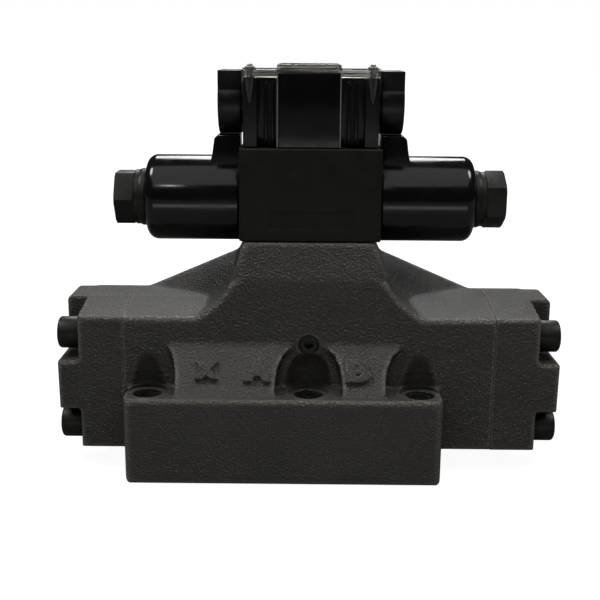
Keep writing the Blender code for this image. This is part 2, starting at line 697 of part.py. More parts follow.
def make_main_body():
    """The cast body: block, spool housing, slanted pads, neck and wings."""
    depth = (-BLOCK_HALF_DEPTH, BLOCK_HALF_DEPTH)
    body = box("main_body", (BLOCK_LEFT_X, BLOCK_RIGHT_X), depth, (0.0, BLOCK_HEIGHT), CAST)
    rounded(body, BLOCK_EDGE_RADIUS)
    length = HOUSING_HALF_LENGTH
    housing = extruded("housing", housing_outline(HOUSING_BOTTOM_Z), -length, length, "X")
    foot = BLOCK_HALF_DEPTH - BLOCK_EDGE_RADIUS - PAD_FOOT_INSET
    low = BLOCK_HEIGHT - 0.0040
    steepness = (PAD_TOP_Z - BLOCK_HEIGHT) / (foot - HOUSING_HALF_DEPTH)
    inside = 0.0020
    top = (HOUSING_HALF_DEPTH - inside, PAD_TOP_Z + steepness * inside)
    pad = [(-top[0], top[1]), (-foot, BLOCK_HEIGHT), (-foot, low), (foot, low),
           (foot, BLOCK_HEIGHT), top]
    pads = extruded("pads", pad, BLOCK_LEFT_X + BLOCK_EDGE_RADIUS,
                    BLOCK_RIGHT_X - BLOCK_EDGE_RADIUS, "X")
    boolean(body, [housing, pads, make_neck()], "UNION")
    cutters = scoop_cutters(FRONT_BOLTS, -1) + scoop_cutters(REAR_BOLTS, 1)
    cutters += port_cutters() + spool_bore_cutters() + pilot_passage_cutters()
    for name, side in SIDES:
        for i, y, z in cover_bolt_places():
            start = side * (HOUSING_HALF_LENGTH - COVER_BOLT_REACH - 0.002)
            end = side * (HOUSING_HALF_LENGTH + 0.002)
            cutters.append(rod(f"cover_thread_{name}_{i}", (start, y, z), (end, y, z),
                               COVER_BOLT_RADIUS + HOLE_GAP, 12))
    deep = PLUG_LENGTH + PLUG_HOLE_SPARE
    for row, facing in (("front", -1), ("rear", 1)):
        start = facing * (HOUSING_HALF_DEPTH + 0.002)
        end = facing * (HOUSING_HALF_DEPTH - deep)
        x = plug_x(facing)
        cutters.append(rod(f"plug_hole_{row}", (x, start, PLUG_Z), (x, end, PLUG_Z),
                           PLUG_RADIUS + HOLE_GAP, 16))
    for i, x, y in pilot_bolt_places():
        cutters.append(rod(f"pilot_thread_{i}", (x, y, NECK_TOP_Z - PILOT_BOLT_REACH - 0.001),
                           (x, y, NECK_TOP_Z + 0.002), PILOT_BOLT_RADIUS + HOLE_GAP, 12))
    return boolean(body, cutters)


def plug_x(facing):
    """A plug sits over the middle bolt of each row."""
    return FRONT_BOLTS[1] if facing < 0 else REAR_BOLTS[1]


def pilot_bolt_places():
    """The four bolts of the pilot valve as (number, x, y)."""
    places = [(-1, -1), (1, -1), (-1, 1), (1, 1)]
    return [
        (i + 1, u * PILOT_BOLT_X, PILOT_Y + v * PILOT_BOLT_Y) for i, (u, v) in enumerate(places)
    ]


def make_plugs():
    """Hexagon socket plugs that close the cross drillings, one in front and one behind."""
    for row, facing in (("front", -1), ("rear", 1)):
        x = plug_x(facing)
        face = facing * (HOUSING_HALF_DEPTH - PLUG_INSET)
        profile = [(0.0, 0.0), (PLUG_RADIUS - PLUG_CHAMFER, 0.0), (PLUG_RADIUS, -PLUG_CHAMFER),
                   (PLUG_RADIUS, -PLUG_LENGTH), (0.0, -PLUG_LENGTH)]
        plug = turned(f"{row}_plug", profile, (x, face, PLUG_Z), (0, facing, 0), BLACK_STEEL, 16)
        socket = rod(f"{row}_plug_socket", (x, face + facing * 0.001, PLUG_Z),
                     (x, face - facing * PLUG_SOCKET_DEPTH, PLUG_Z), PLUG_SOCKET_RADIUS, 6)
        boolean(plug, [socket])


def make_port_seals():
    """Seal rings in the recesses of the mounting face, flush with it."""
    depth = SEAL_RECESS_DEPTH - GAP
    section = depth / 2
    for name, x, y in MAIN_PORTS:
        centre = PORT_RADIUS + SEAL_RECESS_WIDTH - GAP - section
        seal_ring(f"port_seal_{name}", centre, section, (x, y, section), (0, 0, 1), 16)
    for name, x, y in SMALL_PORTS:
        centre = PILOT_PORT_RADIUS + SMALL_RECESS_WIDTH - GAP - section
        seal_ring(f"port_seal_{name}", centre, section, (x, y, section), (0, 0, 1), 12)


def seal_ring(name, radius, section, place, towards, steps, sides=4):
    """A rubber ring of round section."""
    profile = [
        (radius + section * math.sin(a), section * math.cos(a))
        for a in (2 * math.pi * i / sides for i in range(sides))
    ]
    return turned(name, profile, place, towards, RUBBER, steps, ring=True)


def make_cover(name, side):
    """An end cover: a thick plate with a raised cross between its four bolts."""
    low, high = sorted((side * COVER_INNER_X, side * COVER_OUTER_X))
    cover = extruded(f"end_cover_{name}", housing_outline(HOUSING_BOTTOM_Z), low, high, "X", CAST)
    cross_low, cross_high = sorted((side * (COVER_OUTER_X - 0.002), side * COVER_CROSS_X))
    half = COVER_RIB_HALF_WIDTH
    upright = [(-half, HOUSING_BOTTOM_Z), (half, HOUSING_BOTTOM_Z), (half, HOUSING_CROWN_Z),
               (-half, HOUSING_CROWN_Z)]
    level = [(-HOUSING_HALF_DEPTH, SPOOL_Z - half), (HOUSING_HALF_DEPTH, SPOOL_Z - half),
             (HOUSING_HALF_DEPTH, SPOOL_Z + half), (-HOUSING_HALF_DEPTH, SPOOL_Z + half)]
    arms = [
        extruded(f"cross_upright_{name}", upright, cross_low, cross_high, "X"),
        extruded(f"cross_level_{name}", level, cross_low, cross_high, "X"),
    ]
    boolean(cover, arms, "UNION")
    inner = COVER_INNER_X - 0.002
    cutters = [rod(f"spring_pocket_{name}", (side * inner, 0, SPOOL_Z),
                   (side * (COVER_INNER_X + COVER_POCKET_DEPTH), 0, SPOOL_Z),
                   COVER_POCKET_RADIUS, 20)]
    groove_out = COVER_SEAL_RADIUS + COVER_SEAL_SECTION + GAP
    groove_in = COVER_SEAL_RADIUS - COVER_SEAL_SECTION - GAP
    depth = 2 * COVER_SEAL_SECTION + GAP
    groove = [(groove_out, 0.002), (groove_out, -depth), (groove_in, -depth), (groove_in, 0.002)]
    cutters.append(turned(f"seal_groove_{name}", groove, (side * COVER_INNER_X, 0, SPOOL_Z),
                          (-side, 0, 0), steps=20, ring=True))
    for i, y, z in cover_bolt_places():
        cutters.append(rod(f"cover_hole_{name}_{i}", (side * inner, y, z),
                           (side * (COVER_OUTER_X + 0.002), y, z),
                           COVER_BOLT_RADIUS + HOLE_GAP, 12))
    boolean(cover, cutters)
    seal_x = side * (COVER_INNER_X + COVER_SEAL_SECTION)
    seal_ring(f"cover_seal_{name}", COVER_SEAL_RADIUS, COVER_SEAL_SECTION,
              (seal_x, 0, SPOOL_Z), (side, 0, 0), 20)
    for i, y, z in cover_bolt_places():
        seat = COVER_OUTER_X + GAP
        socket_screw(f"cover_bolt_{name}_{i}", (side * seat, y, z), (side, 0, 0),
                     COVER_BOLT_RADIUS, seat - HOUSING_HALF_LENGTH + COVER_BOLT_REACH,
                     COVER_BOLT_HEAD_RADIUS, COVER_BOLT_HEAD_HEIGHT,
                     COVER_BOLT_SOCKET_RADIUS, COVER_BOLT_SOCKET_DEPTH, BLACK_STEEL, 12)


def socket_screw(name, seat, towards, radius, length, head_radius, head_height, socket_radius,
                 socket_depth, material, steps):
    """A hexagon socket screw; seat is under its head and towards points out of the head."""
    profile = [(0.0, head_height), (head_radius, head_height), (head_radius, 0.0),
               (radius, 0.0), (radius, -length), (0.0, -length)]
    screw = turned(name, profile, seat, towards, material, steps)
    seat = Vector(seat)
    out = Vector(towards)
    socket = rod(f"{name}_socket", seat + out * (head_height + 0.001),
                 seat + out * (head_height - socket_depth), socket_radius, 6)
    return boolean(screw, [socket])


def make_main_spool():
    """The main spool with its lands and end stems, and the springs that centre it."""
    outer = BORE_RADIUS - SLIDE_GAP
    groove = SPOOL_GROOVE_RADIUS
    land_in = PORT_PITCH - CHAMBER_WIDTH / 2 - SPOOL_OVERLAP
    land_out = PORT_PITCH + CHAMBER_WIDTH / 2 + SPOOL_OVERLAP
    end_in = 2 * PORT_PITCH + CHAMBER_WIDTH / 2 - SPOOL_OVERLAP
    stem_end = SPOOL_HALF_LENGTH + SPOOL_STEM_LENGTH
    half = [(0.0, stem_end), (SPOOL_STEM_RADIUS, stem_end),
            (SPOOL_STEM_RADIUS, SPOOL_HALF_LENGTH), (outer, SPOOL_HALF_LENGTH), (outer, end_in),
            (groove, end_in), (groove, land_out), (outer, land_out), (outer, land_in),
            (groove, land_in)]
    profile = half + [(r, -h) for r, h in reversed(half)]
    turned("main_spool", profile, (0, 0, SPOOL_Z), (1, 0, 0), STEEL, 16)
    for name, side in SIDES:
        start = side * (SPOOL_HALF_LENGTH + GAP)
        end = side * (COVER_INNER_X + COVER_POCKET_DEPTH - GAP)
        spring(f"main_spring_{name}", MAIN_SPRING_RADIUS, MAIN_SPRING_WIRE, MAIN_SPRING_TURNS,
               start, end, 0.0, SPOOL_Z, STEEL)


def make_pilot_body():
    """The pilot valve's body with its bore, chambers, ports and bolt holes."""
    body = box("pilot_body", (-PILOT_HALF_LENGTH, PILOT_HALF_LENGTH),
               (PILOT_FRONT_Y, PILOT_REAR_Y), (PILOT_BOTTOM_Z, PILOT_TOP_Z), PILOT_CAST)
    rounded(body, PILOT_EDGE_RADIUS, 1)
    far = PILOT_HALF_LENGTH + 0.002
    axis = (PILOT_Y, PILOT_Z)
    cutters = [rod("pilot_bore", (-far, *axis), (far, *axis), PILOT_BORE_RADIUS, 16)]
    for name, side in SIDES:
        cutters.append(rod(f"tube_seat_{name}", (side * (TUBE_NOSE_X - GAP), *axis),
                           (side * far, *axis), TUBE_RADIUS + HOLE_GAP, 20))
    for i in range(-2, 3):
        x = i * PILOT_CHAMBER_PITCH
        cutters.append(rod(f"pilot_chamber_{i + 2}", (x - PILOT_CHAMBER_WIDTH / 2, *axis),
                           (x + PILOT_CHAMBER_WIDTH / 2, *axis), PILOT_CHAMBER_RADIUS, 12))
    below = PILOT_BOTTOM_Z - 0.002
    drill = PILOT_DRILL_RADIUS
    gallery_z = PILOT_Z - PILOT_CHAMBER_RADIUS - drill - PILOT_GALLERY_WALL
    tank_y = PILOT_Y + PILOT_TANK_OFFSET
    tank_x = 2 * PILOT_CHAMBER_PITCH
    tops = {"p": PILOT_Z, "t": gallery_z + drill / 2, "a": PILOT_Z, "b": PILOT_Z}
    seal_out = PILOT_SEAL_RADIUS + PILOT_SEAL_SECTION + GAP
    for name, x, y in PILOT_PORTS:
        place = (x, PILOT_Y + y)
        cutters.append(rod(f"pilot_port_{name}", (*place, below), (*place, tops[name]),
                           drill, 8))
        cutters.append(rod(f"pilot_recess_{name}", (*place, below),
                           (*place, PILOT_BOTTOM_Z + 2 * PILOT_SEAL_SECTION + GAP), seal_out, 12))
        seal_ring(f"pilot_seal_{name}", PILOT_SEAL_RADIUS, PILOT_SEAL_SECTION,
                  (*place, PILOT_BOTTOM_Z + PILOT_SEAL_SECTION), (0, 0, 1), 12)
    cutters.append(rod("pilot_pressure_cross", (0, PILOT_Y - PILOT_PORT_ROW, PILOT_Z),
                       (0, PILOT_Y, PILOT_Z), 0.9 * drill, 8))
    gallery_y = (tank_y + PILOT_Y + PILOT_PORT_ROW) / 2
    cutters.append(rod("pilot_tank_gallery", (-tank_x - drill, gallery_y, gallery_z),
                       (tank_x + drill, gallery_y, gallery_z), 1.1 * drill, 8))
    for name, side in SIDES:
        x = side * tank_x
        cutters.append(rod(f"pilot_tank_riser_{name}", (x, tank_y, gallery_z - drill / 2),
                           (x, tank_y, PILOT_Z - PILOT_TANK_DEPTH), 0.9 * drill, 8))
    for i, x, y in pilot_bolt_places():
        cutters.append(rod(f"pilot_bolt_hole_{i}", (x, y, below), (x, y, PILOT_TOP_Z + 0.002),
                           PILOT_BOLT_RADIUS + HOLE_GAP, 12))
        seat = pilot_bolt_seat_z() - GAP
        cutters.append(rod(f"pilot_bolt_recess_{i}", (x, y, seat), (x, y, PILOT_TOP_Z + 0.002),
                           PILOT_BOLT_HEAD_RADIUS + HOLE_GAP, 12))
    boolean(body, cutters)
    for i, x, y in pilot_bolt_places():
        seat = pilot_bolt_seat_z()
        socket_screw(f"pilot_bolt_{i}", (x, y, seat), (0, 0, 1), PILOT_BOLT_RADIUS,
                     seat - NECK_TOP_Z + PILOT_BOLT_REACH, PILOT_BOLT_HEAD_RADIUS,
                     PILOT_BOLT_HEAD_HEIGHT, PILOT_BOLT_SOCKET_RADIUS,
                     0.6 * PILOT_BOLT_HEAD_HEIGHT, BLACK_STEEL, 12)


def pilot_bolt_seat_z():
    """The pilot bolts' heads lie under the body's top face."""
    return PILOT_TOP_Z - PILOT_BOLT_HEAD_HEIGHT - GAP


def make_pilot_spool():
    """The small spool and its two return springs."""
    outer = PILOT_BORE_RADIUS - SLIDE_GAP
    groove = PILOT_SPOOL_GROOVE_RADIUS
    land_in = PILOT_CHAMBER_PITCH - PILOT_CHAMBER_WIDTH / 2 - PILOT_OVERLAP
    land_out = PILOT_CHAMBER_PITCH + PILOT_CHAMBER_WIDTH / 2 + PILOT_OVERLAP
    collar = PILOT_SPOOL_HALF_LENGTH - 0.0010
    half = [(0.0, PILOT_SPOOL_HALF_LENGTH), (outer - 0.0010, PILOT_SPOOL_HALF_LENGTH),
            (outer - 0.0010, collar), (groove, collar), (groove, land_out), (outer, land_out),
            (outer, land_in), (groove, land_in)]
    profile = half + [(r, -h) for r, h in reversed(half)]
    turned("pilot_spool", profile, (0, PILOT_Y, PILOT_Z), (1, 0, 0), STEEL, 16)
    for name, side in SIDES:
        start = side * (PILOT_SPOOL_HALF_LENGTH + GAP)
        end = side * (TUBE_NOSE_X + TUBE_SPRING_POCKET - GAP)
        spring(f"pilot_spring_{name}", PILOT_SPRING_RADIUS, PILOT_SPRING_WIRE,
               PILOT_SPRING_TURNS, start, end, PILOT_Y, PILOT_Z, STEEL)


def make_solenoid(name, side):
    """One solenoid: core tube, armature with its rod, coil, nut and manual override pin."""
    place = (0, PILOT_Y, PILOT_Z)
    out = (side, 0, 0)
    rod_hole = ROD_RADIUS + SLIDE_GAP
    pin_hole = PIN_RADIUS + SLIDE_GAP
    tube = [(TUBE_RADIUS, TUBE_END_X), (TUBE_RADIUS, TUBE_NOSE_X),
            (TUBE_SPRING_POCKET_RADIUS, TUBE_NOSE_X),
            (TUBE_SPRING_POCKET_RADIUS, TUBE_NOSE_X + TUBE_SPRING_POCKET),
            (rod_hole, TUBE_NOSE_X + TUBE_SPRING_POCKET), (rod_hole, POLE_END_X),
            (TUBE_INNER_RADIUS, POLE_END_X), (TUBE_INNER_RADIUS, TUBE_CAVITY_END_X),
            (pin_hole, TUBE_CAVITY_END_X + TUBE_END_WALL), (pin_hole, TUBE_END_X)]
    turned(f"core_tube_{name}", tube, place, out, STEEL, 20, ring=True)
    armature_radius = TUBE_INNER_RADIUS - SLIDE_GAP
    armature = [(0.0, ARMATURE_END_X), (armature_radius, ARMATURE_END_X),
                (armature_radius, ARMATURE_START_X), (ROD_RADIUS, ARMATURE_START_X),
                (ROD_RADIUS, PILOT_SPOOL_HALF_LENGTH + GAP), (0.0, PILOT_SPOOL_HALF_LENGTH + GAP)]
    turned(f"armature_{name}", armature, place, out, STEEL, 16)
    pin_end = NUT_END_X - PIN_CHAMFER
    pin = [(0.0, pin_end), (PIN_RADIUS - PIN_CHAMFER, pin_end),
           (PIN_RADIUS, pin_end - PIN_CHAMFER), (PIN_RADIUS, ARMATURE_END_X + GAP),
           (0.0, ARMATURE_END_X + GAP)]
    turned(f"override_pin_{name}", pin, place, out, STEEL, 12)
    make_coil(name, side)
    make_nut(name, side)


def make_coil(name, side):
    """A moulded coil: a round body with a rounded end and a terminal block on top."""
    bore = TUBE_RADIUS + HOLE_GAP
    bow = [
        (COIL_RADIUS - COIL_END_RADIUS * (1 - math.sin(a)),
         COIL_END_X - COIL_END_RADIUS * (1 - math.cos(a)))
        for a in (math.radians(d) for d in (0, 30, 60, 90))
    ]
    profile = bow + [(COIL_RADIUS, COIL_START_X), (bore, COIL_START_X), (bore, COIL_END_X)]
    place = (0, PILOT_Y, PILOT_Z)
    coil = turned(f"coil_{name}", profile, place, (side, 0, 0), COIL_BLACK, 24, ring=True)
    low = PILOT_Z + 0.7 * COIL_RADIUS
    start = COIL_START_X
    outline = [(start, low), (start + COIL_BLOCK_FOOT_REACH, low),
               (start + COIL_BLOCK_FOOT_REACH, COIL_BLOCK_LOW_Z),
               (start + COIL_BLOCK_TOP_REACH, COIL_BLOCK_TOP_Z), (start, COIL_BLOCK_TOP_Z)]
    outline = [(side * x, z) for x, z in outline]
    block = extruded(f"coil_block_{name}", outline, PILOT_Y - COIL_BLOCK_HALF_DEPTH,
                     PILOT_Y + COIL_BLOCK_HALF_DEPTH, "Y")
    boolean(coil, [block], "UNION")


def make_nut(name, side):
    """The coil's nut: a ring against the coil, a round collar and a hexagon."""
    place = (0, PILOT_Y, PILOT_Z)
    bore = TUBE_RADIUS + HOLE_GAP
    ring_end = NUT_START_X + NUT_RING_LENGTH
    wall = NUT_END_X - NUT_END_WALL
    inside = NUT_HEX_X + NUT_STUB_LENGTH
    profile = [(0.0, inside), (NUT_STUB_RADIUS, inside), (NUT_STUB_RADIUS, NUT_HEX_X),
               (NUT_COLLAR_RADIUS, NUT_HEX_X),
               (NUT_COLLAR_RADIUS, ring_end), (NUT_RING_RADIUS, ring_end),
               (NUT_RING_RADIUS, NUT_START_X), (0.0, NUT_START_X)]
    nut = turned(f"coil_nut_{name}", profile, place, (side, 0, 0), BLACK_STEEL, 20,
                 turn=math.radians(9))
    hexagon = [(0.0, NUT_END_X), (NUT_HEX_RADIUS - NUT_HEX_CHAMFER, NUT_END_X),
               (NUT_HEX_RADIUS, NUT_END_X - NUT_HEX_CHAMFER), (NUT_HEX_RADIUS, NUT_HEX_X + GAP),
               (0.0, NUT_HEX_X + GAP)]
    turn = 0.0 if side > 0 else math.radians(30)
    head = turned(f"nut_hexagon_{name}", hexagon, place, (side, 0, 0), steps=6, turn=turn)
    boolean(nut, [head], "UNION")
    before = side * (NUT_START_X - 0.002)
    bores = [
        rod(f"nut_bore_{name}", (before, *place[1:]), (side * wall, *place[1:]), bore, 20),
        rod(f"nut_pin_hole_{name}", (before, *place[1:]),
            (side * (NUT_END_X + 0.002), *place[1:]), PIN_RADIUS + HOLE_GAP, 12),
    ]
    boolean(nut, bores)


def make_terminal_box():
    """The terminal box: a tray with a middle front wall and two screw posts."""
    front = BOX_FRONT_Y
    rear = PILOT_REAR_Y
    tray_front = front + BOX_RECESS_DEPTH
    height = (BOX_BOTTOM_Z, BOX_TOP_Z)
    length = BOX_HALF_LENGTH
    tray = box("terminal_box", (-length, length), (tray_front, rear), height, PLASTIC)
    panel_back = front + PANEL_THICKNESS + GAP
    middle = box("box_middle", (PANEL_LEFT_X, PANEL_RIGHT_X),
                 (panel_back, tray_front + 0.001), height)
    joined = [middle]
    cutters = [box("box_inside", (-length + BOX_WALL, length - BOX_WALL),
                   (tray_front + BOX_WALL, rear - BOX_WALL),
                   (BOX_BOTTOM_Z + BOX_WALL, BOX_TOP_Z + 0.002))]
    for name, side in SIDES:
        low, high = sorted((side * (length - BOX_POST_WIDTH), side * length))
        joined.append(box(f"box_post_{name}", (low, high), (front, tray_front + 0.001), height))
        x = side * LID_SCREW_X
        cutters.append(rod(f"lid_thread_{name}", (x, LID_SCREW_Y, BOX_TOP_Z + 0.002),
                           (x, LID_SCREW_Y, BOX_TOP_Z - LID_SCREW_REACH - 0.001),
                           LID_SCREW_RADIUS + HOLE_GAP, 10))
        cutters.append(rod(f"cable_way_{name}", (side * (length + 0.002), PILOT_Y, HUB_Z),
                           (side * (length - BOX_WALL - 0.002), PILOT_Y, HUB_Z),
                           HUB_BORE_RADIUS, 20))
    boolean(tray, joined, "UNION")
    boolean(tray, cutters)
    box("front_panel", (PANEL_LEFT_X, PANEL_RIGHT_X), (front, front + PANEL_THICKNESS),
        (BOX_BOTTOM_Z, BOX_TOP_Z), PLASTIC)
    make_lid(front, rear)


def make_lid(front, rear):
    """The clear lid with its raised middle, held by two small screws."""
    length = BOX_HALF_LENGTH
    lid = box("clear_lid", (-length, length), (front, rear), (LID_BOTTOM_Z, LID_TOP_Z), CLEAR)
    crown = box("lid_crown", (PANEL_LEFT_X, PANEL_RIGHT_X), (front, rear),
                (LID_BOTTOM_Z, LID_TOP_Z + LID_CENTRE_HEIGHT))
    boolean(lid, [crown], "UNION")
    hollow = (PANEL_LEFT_X + LID_WALL, PANEL_RIGHT_X - LID_WALL)
    cutters = [box("lid_hollow", hollow, (front + LID_WALL, rear - LID_WALL),
                   (LID_BOTTOM_Z - 0.002, LID_TOP_Z + LID_CENTRE_HEIGHT - LID_WALL))]
    for name, side in SIDES:
        x = side * LID_SCREW_X
        cutters.append(rod(f"lid_hole_{name}", (x, LID_SCREW_Y, LID_BOTTOM_Z - 0.002),
                           (x, LID_SCREW_Y, LID_TOP_Z + 0.002), LID_SCREW_RADIUS + HOLE_GAP, 10))
        seat = LID_TOP_Z + GAP
        socket_screw(f"lid_screw_{name}", (x, LID_SCREW_Y, seat), (0, 0, 1), LID_SCREW_RADIUS,
                     seat - BOX_TOP_Z + LID_SCREW_REACH, LID_SCREW_HEAD_RADIUS,
                     LID_SCREW_HEAD_HEIGHT, 0.5 * LID_SCREW_HEAD_RADIUS,
                     0.5 * LID_SCREW_HEAD_HEIGHT, STEEL, 12)
    boolean(lid, cutters)


def make_hub(name, side):
    """A conduit hub: a plate with a square top and a round foot, on a short neck."""
    count = 14
    outline = [(PILOT_Y + HUB_RADIUS, HUB_TOP_Z), (PILOT_Y - HUB_RADIUS, HUB_TOP_Z)]
    for i in range(count + 1):
        angle = math.pi + math.pi * i / count
        outline.append((PILOT_Y + HUB_RADIUS * math.cos(angle),
                        HUB_Z + HUB_RADIUS * math.sin(angle)))
    neck_end = HUB_START_X + HUB_NECK_LENGTH
    low, high = sorted((side * neck_end, side * (neck_end + HUB_LENGTH)))
    hub = extruded(f"conduit_hub_{name}", outline, low, high, "X", PLASTIC)
    start = (side * HUB_START_X, PILOT_Y, HUB_Z)
    neck = rod(f"hub_neck_{name}", start, (side * (neck_end + 0.002), PILOT_Y, HUB_Z),
               HUB_NECK_RADIUS, 20)
    boolean(hub, [neck], "UNION")
    bore = rod(f"hub_bore_{name}", (side * (HUB_START_X - 0.002), PILOT_Y, HUB_Z),
               (side * (neck_end + HUB_LENGTH + 0.002), PILOT_Y, HUB_Z), HUB_BORE_RADIUS, 20)
    boolean(hub, [bore])


def main():
    make_main_body()
    make_plugs()
    make_port_seals()
    make_main_spool()
    make_pilot_body()
    make_pilot_spool()
    make_terminal_box()
    for name, side in SIDES:
        make_cover(name, side)
        make_solenoid(name, side)
        make_hub(name, side)


main()
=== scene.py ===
"""The looks of a pilot operated directional valve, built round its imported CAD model.

All sizes are in metres. X runs along the spools, the front looks along -Y and Z is up.
"""
import math

import bmesh
import bpy
import numpy as np
from bpy.props import FloatProperty, FloatVectorProperty, IntProperty, PointerProperty
from bpy.types import Operator, Panel, PropertyGroup
from mathutils import Matrix, Vector


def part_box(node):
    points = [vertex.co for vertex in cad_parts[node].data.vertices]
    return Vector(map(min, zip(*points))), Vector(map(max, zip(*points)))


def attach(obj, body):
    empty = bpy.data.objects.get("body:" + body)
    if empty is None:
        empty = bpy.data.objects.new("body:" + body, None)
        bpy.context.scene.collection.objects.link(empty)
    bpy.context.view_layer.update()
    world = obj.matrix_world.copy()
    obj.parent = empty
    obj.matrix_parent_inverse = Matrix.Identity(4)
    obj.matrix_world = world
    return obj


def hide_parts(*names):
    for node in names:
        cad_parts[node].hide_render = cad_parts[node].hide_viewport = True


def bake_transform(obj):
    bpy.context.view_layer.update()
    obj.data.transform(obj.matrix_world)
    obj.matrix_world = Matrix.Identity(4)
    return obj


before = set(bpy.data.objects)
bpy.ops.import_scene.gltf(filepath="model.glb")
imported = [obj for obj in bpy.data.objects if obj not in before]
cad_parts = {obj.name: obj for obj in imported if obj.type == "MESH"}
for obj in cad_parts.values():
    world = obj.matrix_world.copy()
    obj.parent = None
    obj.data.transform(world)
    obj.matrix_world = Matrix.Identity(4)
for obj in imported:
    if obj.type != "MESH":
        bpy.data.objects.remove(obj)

bl_info = {
    "name": "Pilot Operated Directional Valve",
    "version": (1, 0, 0),
    "blender": (4, 5, 0),
    "location": "3D View > Sidebar > Valve",
    "description": "Builds the cast valve, its covers, its pilot valve and their finishes",
    "category": "Object",
}

BODY = "valve_body"
SIDES = (("left", -1), ("right", 1))
PLUG_ROWS = (("front", -1), ("rear", 1))
X_AXIS = Vector((1, 0, 0))
Z_AXIS = Vector((0, 0, 1))
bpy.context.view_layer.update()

# Places read from the frame
HOUSING_LOW, HOUSING_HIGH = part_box("main_body")
COVER_LOW, COVER_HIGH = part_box("end_cover_right")
PILOT_LOW, PILOT_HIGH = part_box("pilot_body")
BOX_LOW, BOX_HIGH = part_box("terminal_box")
LID_LOW, LID_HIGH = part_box("clear_lid")
PANEL_LOW, PANEL_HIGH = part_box("front_panel")
COIL_LOW, COIL_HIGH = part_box("coil_right")
NUT_LOW, NUT_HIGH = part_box("coil_nut_right")
HUB_LOW, HUB_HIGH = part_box("conduit_hub_right")
PIN_LOW, PIN_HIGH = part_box("override_pin_right")
PLUG_LOW, PLUG_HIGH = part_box("front_plug")
SPOOL_LOW, SPOOL_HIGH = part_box("main_spool")
SPOOL_Z = (SPOOL_LOW.z + SPOOL_HIGH.z) / 2
TUBE_LOW, TUBE_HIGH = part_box("core_tube_right")
TUBE_RADIUS = (TUBE_HIGH.z - TUBE_LOW.z) / 2
COIL_RADIUS = (COIL_HIGH.y - COIL_LOW.y) / 2
PIN_RADIUS = (PIN_HIGH.z - PIN_LOW.z) / 2
HUB_RADIUS = (HUB_HIGH.y - HUB_LOW.y) / 2
HUB_Z = HUB_LOW.z + HUB_RADIUS
PLUG_RADIUS = (PLUG_HIGH.x - PLUG_LOW.x) / 2
PILOT_Y = (TUBE_LOW.y + TUBE_HIGH.y) / 2
PILOT_Z = (TUBE_LOW.z + TUBE_HIGH.z) / 2
PILOT_AXIS = Vector((0, PILOT_Y, PILOT_Z))


def centre(node):
    """The middle of a CAD node's box."""
    low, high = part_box(node)
    return (low + high) / 2


def on_axis(x):
    """A place on the axis of the pilot valve."""
    return PILOT_AXIS + X_AXIS * x


# The gap round what stands in a hole, and a length that runs past the cast body
FIT = 0.0003
WIDE = 0.1

# The mounting block
BLOCK_LEFT = -0.0869
BLOCK_RIGHT = 0.0631
BLOCK_TOP = 0.0419
BLOCK_CORNER = 0.0034
BLOCK_FOOT = 0.0040
FRONT_BOLTS = (-0.0770, 0.0, 0.0532)
REAR_BOLTS = (-0.0770, -0.0238, 0.0532)
BOLT_Y = 0.04605
BOLT_HOLE_RADIUS = 0.00675
SPOTFACE_RADIUS = 0.0099
SPOTFACE_DEPTH = 0.0008
SPOTFACE_RUN = 0.0085
PORTS = {"a": 0.0100, "b": 0.0100, "p": 0.0100, "t": 0.0100, "x": 0.0050, "y": 0.0050, "l": 0.0050}
RECESS_WIDTHS = {0.0100: 0.0042, 0.0050: 0.0034}
RECESS_DEPTH = 0.0026
PORT_DEPTH = 0.0300
PIN_HOLE_RADIUS = 0.00375
PIN_HOLE_DEPTH = 0.0080
PIN_HOLES = ((-0.0476, -0.04605), (0.0175, 0.05085))

# The spool housing and its pads
HOUSING_DEPTH = 0.0395
HOUSING_BOTTOM = 0.0105
FRONT_TOP = 0.0766
CROWN = 0.0803
REAR_TOP = 0.0735
CROWN_FRONT_Y = -0.0120
CROWN_REAR_Y = 0.0128
SPOOL_BORE = 0.0150
PAD_TOP = 0.0640
PAD_FOOT_Y = 0.0556
PAD_SINK = 0.0040

# The hollows over the bolts. ARCH_STEPS are (share of the height, share of the lean), an arch is
# (reach to the left, reach to the right, lean), a bolt row is (the way it faces, its bolts, its
# arches), and a scoop is (steps of (radius, share of the height), height of its top)
ARCH_STEPS = ((0.0, 0.0), (0.30, 0.05), (0.55, 0.16), (0.76, 0.46), (0.93, 0.95), (1.06, 1.25))
FRONT_ARCHES = ((None, 0.0138, 0.0046), (0.0161, 0.0161, 0.0086), (0.0170, None, 0.0084))
REAR_ARCHES = ((None, 0.0150, 0.0060), (0.0161, 0.0161, 0.0086), (0.0165, None, 0.0080))
BOLT_ROWS = ((-1, FRONT_BOLTS, FRONT_ARCHES), (1, REAR_BOLTS, REAR_ARCHES))
SIDE_SCOOP = (((0.0, 1.0), (0.0062, 0.98), (0.0085, 0.62), (0.0102, 0.25), (0.0112, 0.0)),
              0.0600)
MIDDLE_SCOOP = (((0.0, 1.0), (0.0050, 0.985), (0.0082, 0.90), (0.0106, 0.74), (0.0124, 0.50),
                 (0.0134, 0.22), (0.0137, 0.0)), 0.0606)

# The neck and the wings behind it
NECK_TOP = 0.1124
NECK_HALF_WIDTH = 0.0314
NECK_CREASE = 0.0939
CREASE_HALF_WIDTH = 0.0372
NECK_SETBACK = 0.0030
NECK_REAR_Y = 0.0140
SHOULDER = 0.0545
WING_HALF_WIDTH = 0.0835
WING_INNER = 0.0366
WING_TOP = 0.0995
WING_CREST = 0.0007
WING_RIDGE = 0.0012
WING_HOLLOW = 3.2
WING_DIP = 0.0034
NECK_STEPS = 10
DEPTH_STEPS = 11

# What is milled off a casting's ends, and the fineness of the cast skins
MACHINING_STOCK = 0.0030
CAST_VOXEL = 0.0011
COVER_VOXEL = 0.0009

